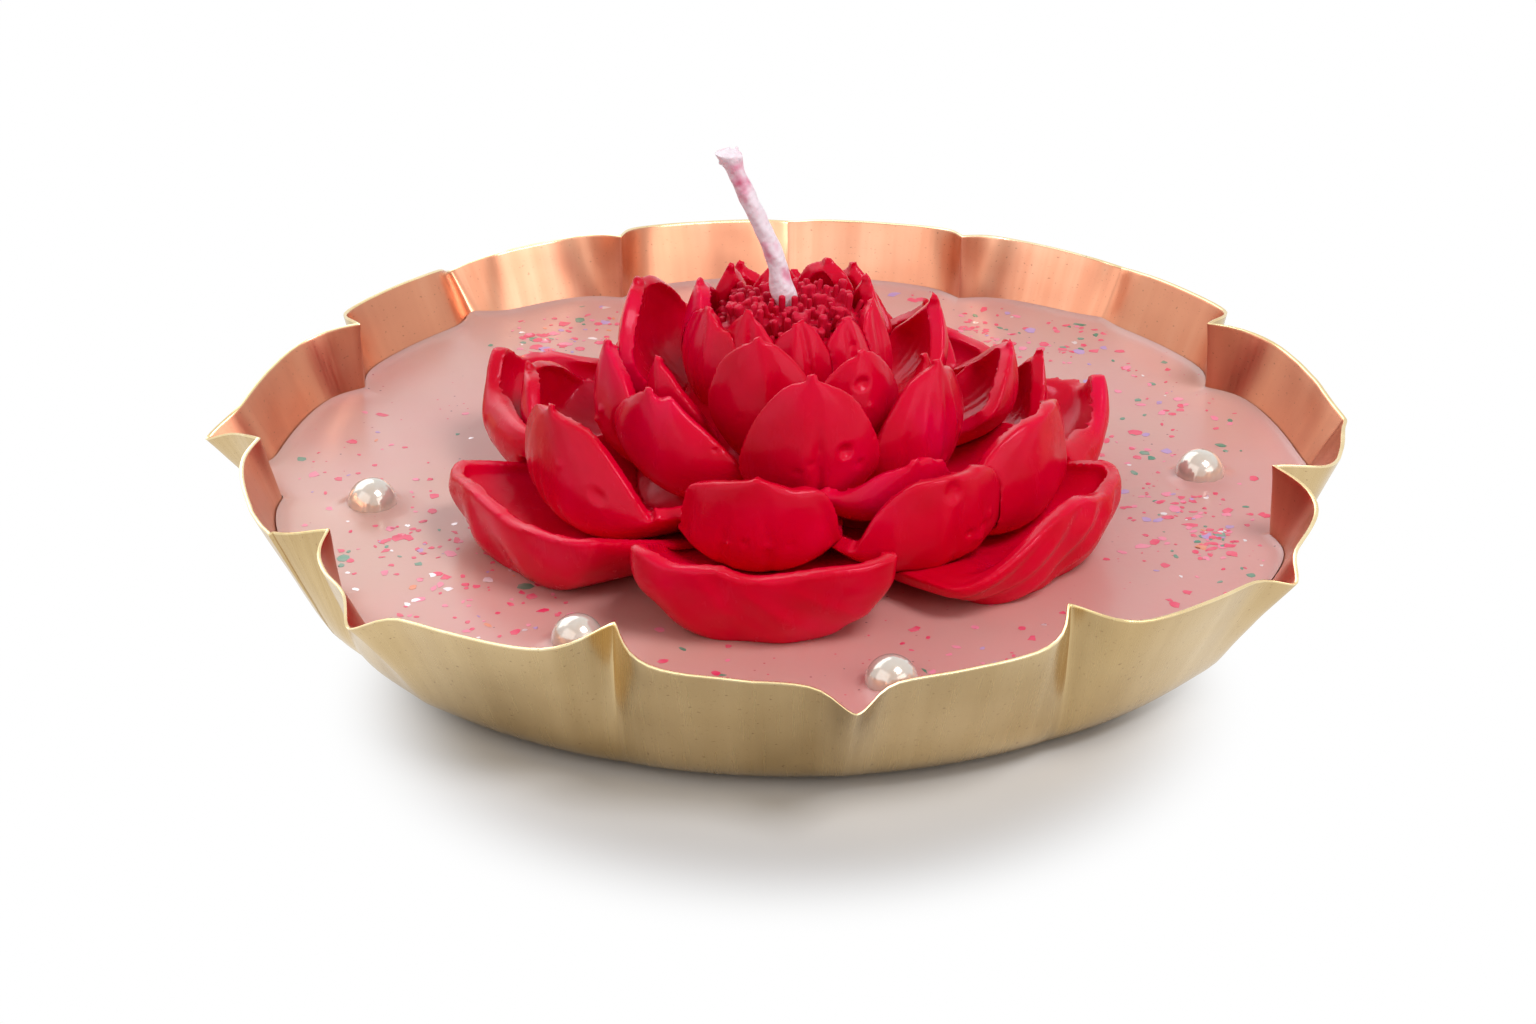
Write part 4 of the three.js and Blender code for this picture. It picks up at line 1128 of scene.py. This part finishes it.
# Their radii in mm, and how common each is
NUB_RADII, NUB_ODDS = [0.34, 0.44, 0.56, 0.95], [0.32, 0.36, 0.22, 0.1]
nubs = []
for reach_share, count in NUB_RINGS:
    for number in range(count):
        bearing = FULL_TURN * (number + chance.uniform(0.2, 0.8)) / count
        out = CLUSTER_REACH * reach_share * chance.uniform(0.94, 1.06)
        sunk = 1.3 if reach_share > 1 else 0
        length = chance.uniform(1.7, 3.2) - 0.6 * max(math.sin(bearing - 0.8), 0)
        thick = chance.choice(NUB_RADII, p=NUB_ODDS)
        if thick == max(NUB_RADII):
            length -= 0.4
        lean = chance.uniform(-0.3, 0.6) * reach_share
        foot = round_the_flower(bearing, out, CLUSTER_FOOT + 0.1 - sunk)
        nubs.append(peg(thick, length, foot, lean, bearing))
stamens = primitive(
    bpy.ops.mesh.primitive_cylinder_add, vertices=40, radius=0.9 * CLUSTER_REACH * MM,
    depth=1.4 * MM, location=(0, -FLOWER_OFFSET * MM, (CLUSTER_FOOT + 0.4) * MM))
pick(stamens, *nubs)
bpy.ops.object.join()
soften(stamens, voxel=0.17, rounds=2, material=HEART_WAX)
settle(stamens, "stamens_wax", "red_wax", "stamen_cluster")
print("nubs:", len(nubs), "faces:", len(stamens.data.polygons))

# %% [markdown]
# ## Building the flower
#
# Coarser copies of the forms serve as the cutters, with 0.03 mm added, so petals look
# stuck to each other. A cutter for the bed cuts the boats flat where they stand.

# %% Cutters that are always there
CUTTER_TOP, CUTTER_FOOT = WAX_TOP - 0.12, -5
bed_cutter = primitive(bpy.ops.mesh.primitive_cube_add, size=120 * MM)
points = points_of(bed_cutter)
points[:, 2] = np.where(points[:, 2] > 0, CUTTER_TOP, CUTTER_FOOT)
place_points(bed_cutter, points)
core_cutter = into_scene("core_cutter", core.data.copy())
cutters = [(bed_cutter, box_of(bed_cutter)), (core_cutter, box_of(core_cutter))]

# %% All petals, from the middle outwards
# The rule of a kind, its marks, and the grids of a petal and of its cutter
LEAF = (leaf_points, leaf_marks, (48, 56), (30, 36))
BOAT = (boat_points, boat_marks, (64, 48), (48, 36))
VOXELS = {"bud": 0.26, "fourth": 0.3, "third": 0.3, "second": 0.3, "outer": 0.32}
chance = np.random.default_rng(11)
made = []
for ring, petals in {**PETALS, "outer": BOATS}.items():
    rule, marks_of, fine, coarse = BOAT if ring == "outer" else LEAF
    for number, petal in enumerate(petals, 1):
        node = f"{ring}_petal_{number}"
        piece = formed(rule, node, petal, fine, marks=marks_of(chance, node))
        cutter = formed(rule, node, petal, coarse, grow=STUCK)
        piece = trim(piece, cutters)
        soften(piece, VOXELS[ring], rounds=6)
        settle(piece, f"{node}_wax", "red_wax", node)
        cutters.append((cutter, box_of(cutter)))
        made.append(len(piece.data.polygons))
for cutter, _ in cutters:
    bpy.data.objects.remove(cutter)
print("petals:", len(made), "faces:", sum(made))

# %% [markdown]
# ## Wick and sustainer
#
# The wick is a cotton braid soaked in wax, stiff enough to stand by itself. Wax has
# filled the braid, so what shows is a lumpy, slightly twisted rod with a thicker foot
# and a crushed, frayed end. A grid is rolled into a rod, then bent and dented by a rule,
# and the tufts at its end are separate slim pegs fused to it. The tin disc under it is
# hidden in the bed and keeps its solid.


# %% Waxed cotton and tinplate
def waxed_cotton():
    material, shader = new_material(
        "waxed cotton braid", IOR=1.45, Subsurface_Weight=0.3, Subsurface_Scale=0.8 * MM,
        Subsurface_Radius=(1.0, 0.8, 0.85), Coat_Weight=0.15, Coat_Roughness=0.3,
    )
    place = add_node(material, "TexCoord", output="Object")
    # Red dye soaked up in stains of 2 mm, and plaits of 0.8 mm that lie aslant
    stain = patterned(material, place, 330, 2)
    tone = add_node(material, "ValToRGB", [stain], stops=[
        (0.5, "#F1E2EA"), (0.58, "#EFD3DE"), (0.66, "#E9AFC3"), (0.75, "#DC7896")])
    aslant = add_node(material, "Mapping", {"Vector": place, "Rotation": (0.0, 0.6, 0.0)})
    plaits = add_node(
        material, "TexWave", {"Vector": aslant, "Scale": 400, "Distortion": 4, "Detail": 2},
        output="Fac", bands_direction="Z")
    lumps = patterned(material, place, 1100, 3)
    feed(material, shader, {
        "Base Color": tone,
        "Roughness": add_node(material, "MapRange", [lumps, 0.3, 0.7, 0.4, 0.6]),
        "Normal": bumps(material, (plaits, 0.05, 0.5), (lumps, 0.15, 1)),
    })
    return material


def tinplate():
    material, shader = new_material("tinplate, stamped", Metallic=1.0)
    place = add_node(material, "TexCoord", output="Object")
    crystals = patterned(material, place, 700, 3)
    tone = add_node(material, "ValToRGB", [crystals], stops=[(0.35, "#AEB1B4"), (0.65, "#C6C8CA")])
    feed(material, shader, {
        "Base Color": tone,
        "Roughness": add_node(material, "MapRange", [crystals, 0.3, 0.7, 0.25, 0.4]),
        "Normal": bumps(material, (crystals, 0.01, 1)),
    })
    return material


WAXED_COTTON = waxed_cotton()
TINPLATE = tinplate()
finish_with(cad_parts["wick_sustainer"], TINPLATE)
print("materials:", WAXED_COTTON.name, "|", TINPLATE.name)

# %% The braid
# Radius, length above the heart and sideways lean, in mm
WICK_RADIUS, WICK_FREE, WICK_LEAN = 1.15, 19.5, 7.4
HEART_TOP = CLUSTER_FOOT + 1.8
WICK_FOOT = 0.9 + 0.4 + 0.3
WICK_END = HEART_TOP + WICK_FREE
TUFTS, TUFTS_STAND_OUT = 11, 0.35
way_z = [WICK_FOOT, HEART_TOP - 1.5, HEART_TOP + 0.32 * WICK_FREE, HEART_TOP + 0.86 * WICK_FREE, WICK_END]
way_x = [0, 0, -0.22 * WICK_LEAN, -0.86 * WICK_LEAN, -WICK_LEAN]

wick, around, share = grid(32, 150)
turn = FULL_TURN * around
z = WICK_FOOT + (WICK_END - TUFTS_STAND_OUT - WICK_FOOT) * share
smooth_z = np.linspace(WICK_FOOT, WICK_END, 60)
smooth_x = np.interp(smooth_z, way_z, way_x)
for _ in range(3):
    smooth_x[1:-1] = (smooth_x[:-2] + 2 * smooth_x[1:-1] + smooth_x[2:]) / 4
x = np.interp(z, smooth_z, smooth_x)
above = z - HEART_TOP
collar = 0.38 * np.exp(-((above - 1.0) / 2.2) ** 2) - 0.5 * np.exp(-((above + 1.4) / 0.9) ** 2)
flare = 0.55 * np.clip((above - 0.84 * WICK_FREE) / (0.16 * WICK_FREE), 0, 1) ** 1.2


def lump(a, h):
    """The braid's lumps at an angle and a height: broad ones and small ones."""
    broad = noise.noise(Vector((math.cos(a) * 0.8, math.sin(a) * 0.8, h / 2.1))) * 0.16
    return broad + noise.noise(Vector((math.cos(a) * 2.2, math.sin(a) * 2.2, h / 0.9 + 7))) * 0.07


lumps = np.array([lump(a, h) for a, h in zip(turn, z)])
twist = 0.05 * np.cos(3 * (turn + z / 1.7))
radius = WICK_RADIUS + collar + flare + lumps + twist
radius = np.where((share < 0.001) | (share > 0.999), 0, radius)
place_points(wick, np.stack([x + radius * np.cos(turn), radius * np.sin(turn) - FLOWER_OFFSET, z], 1))
close_up(wick)

# %% The frayed end
tufts = []
chance = np.random.default_rng(21)
for number in range(TUFTS):
    bearing = FULL_TURN * number / TUFTS + chance.uniform(-0.2, 0.2)
    x, y, z = round_the_flower(bearing, chance.uniform(0.5, 1.25), WICK_END - 2.3)
    radius, length = chance.uniform(0.2, 0.42), chance.uniform(1.5, 2.15)
    foot = (-WICK_LEAN * 0.93 + x, y, z)
    tufts.append(peg(radius, length, foot, chance.uniform(-0.15, 0.3), bearing))
pick(wick, *tufts)
bpy.ops.object.join()
soften(wick, voxel=0.16, rounds=2, material=WAXED_COTTON)
settle(wick, "waxed_wick", "wick_cotton", "wick")
print("wick faces:", len(wick.data.polygons), "top at", round(points_of(wick)[:, 2].max(), 1), "mm")

# %% [markdown]
# ## Glitter
#
# Flakes of coloured foil, 0.4 to 1.4 mm across, were strewn on the wax before it set.
# They lie in drifts: left, right and behind the flower. One flake is modelled, a thin
# seven-sided chip, and copied with its own turn, size and place on the wax. Foil is metal
# or a dyed film under clear lacquer, and each colour is a material of its own.

# %% Foils
def foil(name, code, metallic, roughness):
    material, shader = new_material(name, Metallic=metallic, Coat_Weight=0.15, Coat_Roughness=0.15)
    place = add_node(material, "TexCoord", output="Object")
    # Painted glints: each flake is paler where it would catch the light, varying over 1.5 mm
    turn = patterned(material, place, 650, 1)
    painted_glint = add_node(material, "MapRange", [turn, 0.3, 0.7, 0.0, 0.25])
    feed(material, shader, {
        "Base Color": blended(material, painted_glint, colour(code), colour("#E9C4C6")),
        "Roughness": add_node(material, "MapRange", [turn, 0.3, 0.7, roughness, roughness + 0.2]),
        "Normal": bumps(material, (turn, 0.05, 1)),
    })
    return material


# Each foil and its share of the flakes
FOILS = [
    (foil("glitter foil, rose red", "#E22C5E", 0.0, 0.4), 0.48),
    (foil("glitter foil, pale pink", "#EB7F9E", 0.0, 0.4), 0.24),
    (foil("glitter foil, green", "#36866A", 0.1, 0.3), 0.1),
    (foil("glitter foil, silver", "#E6E0E4", 0.5, 0.25), 0.06),
    (foil("glitter film, lilac", "#B08CC6", 0.0, 0.35), 0.09),
    (foil("glitter foil, orange", "#DE8458", 0.1, 0.35), 0.03),
]
# Drifts: centre x and y, spread and count
DRIFTS = [
    (-41, -23, 8, 80), (-49, -8, 7, 50), (-32, -38, 6, 50), (49, -12, 6, 60), (45, 8, 6, 44),
    (51, -26, 5, 36), (-30, 45, 6, 60), (-22, 44, 6, 30), (24, 49, 7, 56), (36, 40, 6, 60),
    (47, 25, 6, 44), (22, -46, 7, 28), (-10, -49, 8, 20), (-54, 6, 6, 16), (0, 0, 45, 90),
    (51, -17, 2.2, 50), (46, -7, 2.6, 30), (-45, -18, 2.5, 24), (26, 43, 3, 40), (-33, 40, 3, 30),
]
print("foils:", len(FOILS), "drifts:", len(DRIFTS))

# %% One flake
# How deep it lies in the wax, its thickness, and the largest radius, in mm
SUNK, FLAKE_DEPTH, LARGEST_FLAKE = 0.04, 0.07, 0.95
template = primitive(bpy.ops.mesh.primitive_circle_add, vertices=7, radius=1, fill_type="NGON")
edit(template)
bpy.ops.mesh.extrude_region_move(TRANSFORM_OT_translate={"value": (0, 0, 1)})
turn_outwards()
corners = points_of(template) * MM
faces = [list(face.vertices) for face in template.data.polygons]
bpy.data.objects.remove(template)


def flake(chance, here):
    """The corners of a flake with its own size, outline and turn."""
    size = min(chance.lognormal(-0.75, 0.45), LARGEST_FLAKE)
    outline = np.tile(chance.uniform(0.55, 1.2, len(corners) // 2), 2)
    turn, squeeze = chance.uniform(0, 6.3), chance.uniform(0.5, 1.0)
    x, y = corners[:, 0] * size * outline, corners[:, 1] * size * squeeze * outline
    return np.stack([
        here[0] + x * math.cos(turn) - y * math.sin(turn),
        here[1] + x * math.sin(turn) + y * math.cos(turn),
        WAX_TOP + unevenness(*here) - SUNK + FLAKE_DEPTH * corners[:, 2],
    ], 1)


print("flake corners:", len(corners), "faces:", len(faces))

# %% Strewing the flakes
FREE_OF_WALL, FREE_OF_PEARL = 2, 3.4
chance = np.random.default_rng(33)
all_points, all_faces, all_foils = [], [], []
foil_odds = np.array([odds for _, odds in FOILS])
for x, y, spread, count in DRIFTS:
    for _ in range(count):
        here = np.array([x, y]) + chance.normal(0, spread, 2)
        at_wall = math.hypot(*here) > brim_towards(*here) - FREE_OF_WALL
        if at_wall or near_pearl(here, FREE_OF_PEARL):
            continue
        start = len(all_points) * len(corners)
        all_points.append(flake(chance, here))
        all_faces += [[start + corner for corner in face] for face in faces]
        all_foils += [chance.choice(len(FOILS), p=foil_odds / foil_odds.sum())] * len(faces)
mesh = bpy.data.meshes.new("glitter_flakes")
mesh.from_pydata((np.concatenate(all_points) * MM).tolist(), [], all_faces)
for material, _ in FOILS:
    mesh.materials.append(material)
mesh.polygons.foreach_set("material_index", all_foils)
glitter = into_scene("glitter_flakes", mesh)
settle(glitter, "glitter_flakes", "pink_wax")
print("flakes:", len(all_points))

# %% [markdown]
# ## Studio
#
# The candle stands on a white table that runs out into white. Big soft boxes hang behind
# it and at both sides, and a smaller one high at the front right draws the highlights,
# so that colours come out about as they are written. Away from the candle the table is
# simply white to the camera and to mirrors, but it keeps the soft shadow before the tray,
# where it is grey: painted shadow that deepens the real one.

# %% Table
# The round patch before the tray that keeps its shadow, painted grey as shadow: its middle, and where it
# starts and ends to fade
SHADOW_PATCH, FADE_START, FADE_END = (0, -0.035, 0), 0.034, 0.055
table = primitive(bpy.ops.mesh.primitive_circle_add, vertices=96, radius=2.5, fill_type="NGON")
table.location.z = -0.2 * MM
table.name = "table_top"


def seen_or_mirrored(material):
    """1 for what the camera, a mirror or clear glass sees, and 0 for light on the object."""
    rays = [
        add_node(material, "LightPath", output=kind)
        for kind in ("Is Camera Ray", "Is Glossy Ray", "Is Transmission Ray")
    ]
    either = add_node(material, "Math", rays[:2], operation="MAXIMUM")
    return add_node(material, "Math", [either, rays[2]], operation="MAXIMUM")


TABLE_WHITE = bpy.data.materials.new("white table, matt, with painted shadow")
TABLE_WHITE.use_nodes = True
TABLE_WHITE.node_tree.nodes.remove(TABLE_WHITE.node_tree.nodes["Principled BSDF"])
# Painted shadow: the table is grey in the patch, so its real shadow looks deeper
matt = add_node(TABLE_WHITE, "BsdfDiffuse", {"Color": colour("#CAC9CA")})
white = add_node(TABLE_WHITE, "Emission", {"Color": colour("#FFFFFF"), "Strength": 1.0})
spot = add_node(TABLE_WHITE, "TexCoord", output="Object")
distance = add_node(TABLE_WHITE, "VectorMath", [spot, SHADOW_PATCH], operation="DISTANCE")
fade = add_node(
    TABLE_WHITE, "MapRange", [distance, FADE_START, FADE_END, 0.0, 1.0],
    interpolation_type="SMOOTHERSTEP")
amount = add_node(TABLE_WHITE, "Math", [fade, seen_or_mirrored(TABLE_WHITE)], operation="MULTIPLY")
surface = add_node(TABLE_WHITE, "MixShader", [amount, matt, white])
feed(TABLE_WHITE, TABLE_WHITE.node_tree.nodes["Material Output"], {"Surface": surface})
table.data.materials.append(TABLE_WHITE)
print("table:", TABLE_WHITE.name)

# %% World
AMBIENT = 0.23
world = bpy.data.worlds.new("white studio")
bpy.context.scene.world = world
world.use_nodes = True
strength = add_node(world, "MapRange", [seen_or_mirrored(world), 0.0, 1.0, AMBIENT, 1.0])
feed(world, world.node_tree.nodes["Background"], {"Color": colour("#FFFFFF"), "Strength": strength})
print("light from all round:", AMBIENT)

# %% Soft boxes
AIM = Vector((0, 0, 0.02))
# Name, place, width, height and power in watts
BOXES = [
    ("back_box", (-0.4, 0.5, 0.5), 0.8, 0.6, 2.8),
    ("left_box", (-0.6, -0.55, 0.5), 1.0, 0.9, 2.6),
    ("right_box", (0.6, -0.5, 0.35), 0.6, 0.5, 1.7),
    ("key_box", (0.36, -0.26, 0.74), 0.32, 0.32, 4.0),
]
for name, place, width, height, power in BOXES:
    box = bpy.data.lights.new(name, "AREA")
    box.shape = "RECTANGLE"
    box.size, box.size_y, box.energy = width, height, power
    lamp = into_scene(name, box)
    lamp.location = place
    lamp.rotation_euler = (AIM - Vector(place)).to_track_quat("-Z", "Y").to_euler()
print("soft boxes:", len(BOXES))

# %% [markdown]
# ## Camera
#
# The photograph was taken with a long lens from 48 cm, 26 degrees above the table. The
# camera is set where the tray's outline in the picture puts it, and aimed so that the
# frame needs no shift.

# %% The photograph's view
PHOTO_WIDTH, SENSOR_WIDTH = 1536, 36
FOCAL_PIXELS, DISTANCE, ELEVATION = 3896.04, 0.482706, 0.4598
OFF_CENTRE = (19.705, 40.785)
back = Vector((0, -math.cos(ELEVATION), math.sin(ELEVATION)))
right = Vector((1, 0, 0))
above_view = back.cross(right)
ahead = -back - right * (OFF_CENTRE[0] / FOCAL_PIXELS) + above_view * (OFF_CENTRE[1] / FOCAL_PIXELS)
camera = into_scene("camera", bpy.data.cameras.new("camera"))
camera.location = back * DISTANCE
camera.rotation_euler = ahead.to_track_quat("-Z", "Y").to_euler()
camera.data.sensor_width = SENSOR_WIDTH
camera.data.lens = FOCAL_PIXELS / PHOTO_WIDTH * SENSOR_WIDTH
camera.data.clip_start, camera.data.clip_end = 0.01, 20
bpy.context.scene.camera = camera
bpy.context.scene.view_settings.view_transform = "Standard"
print("lens:", round(camera.data.lens, 1), "mm")
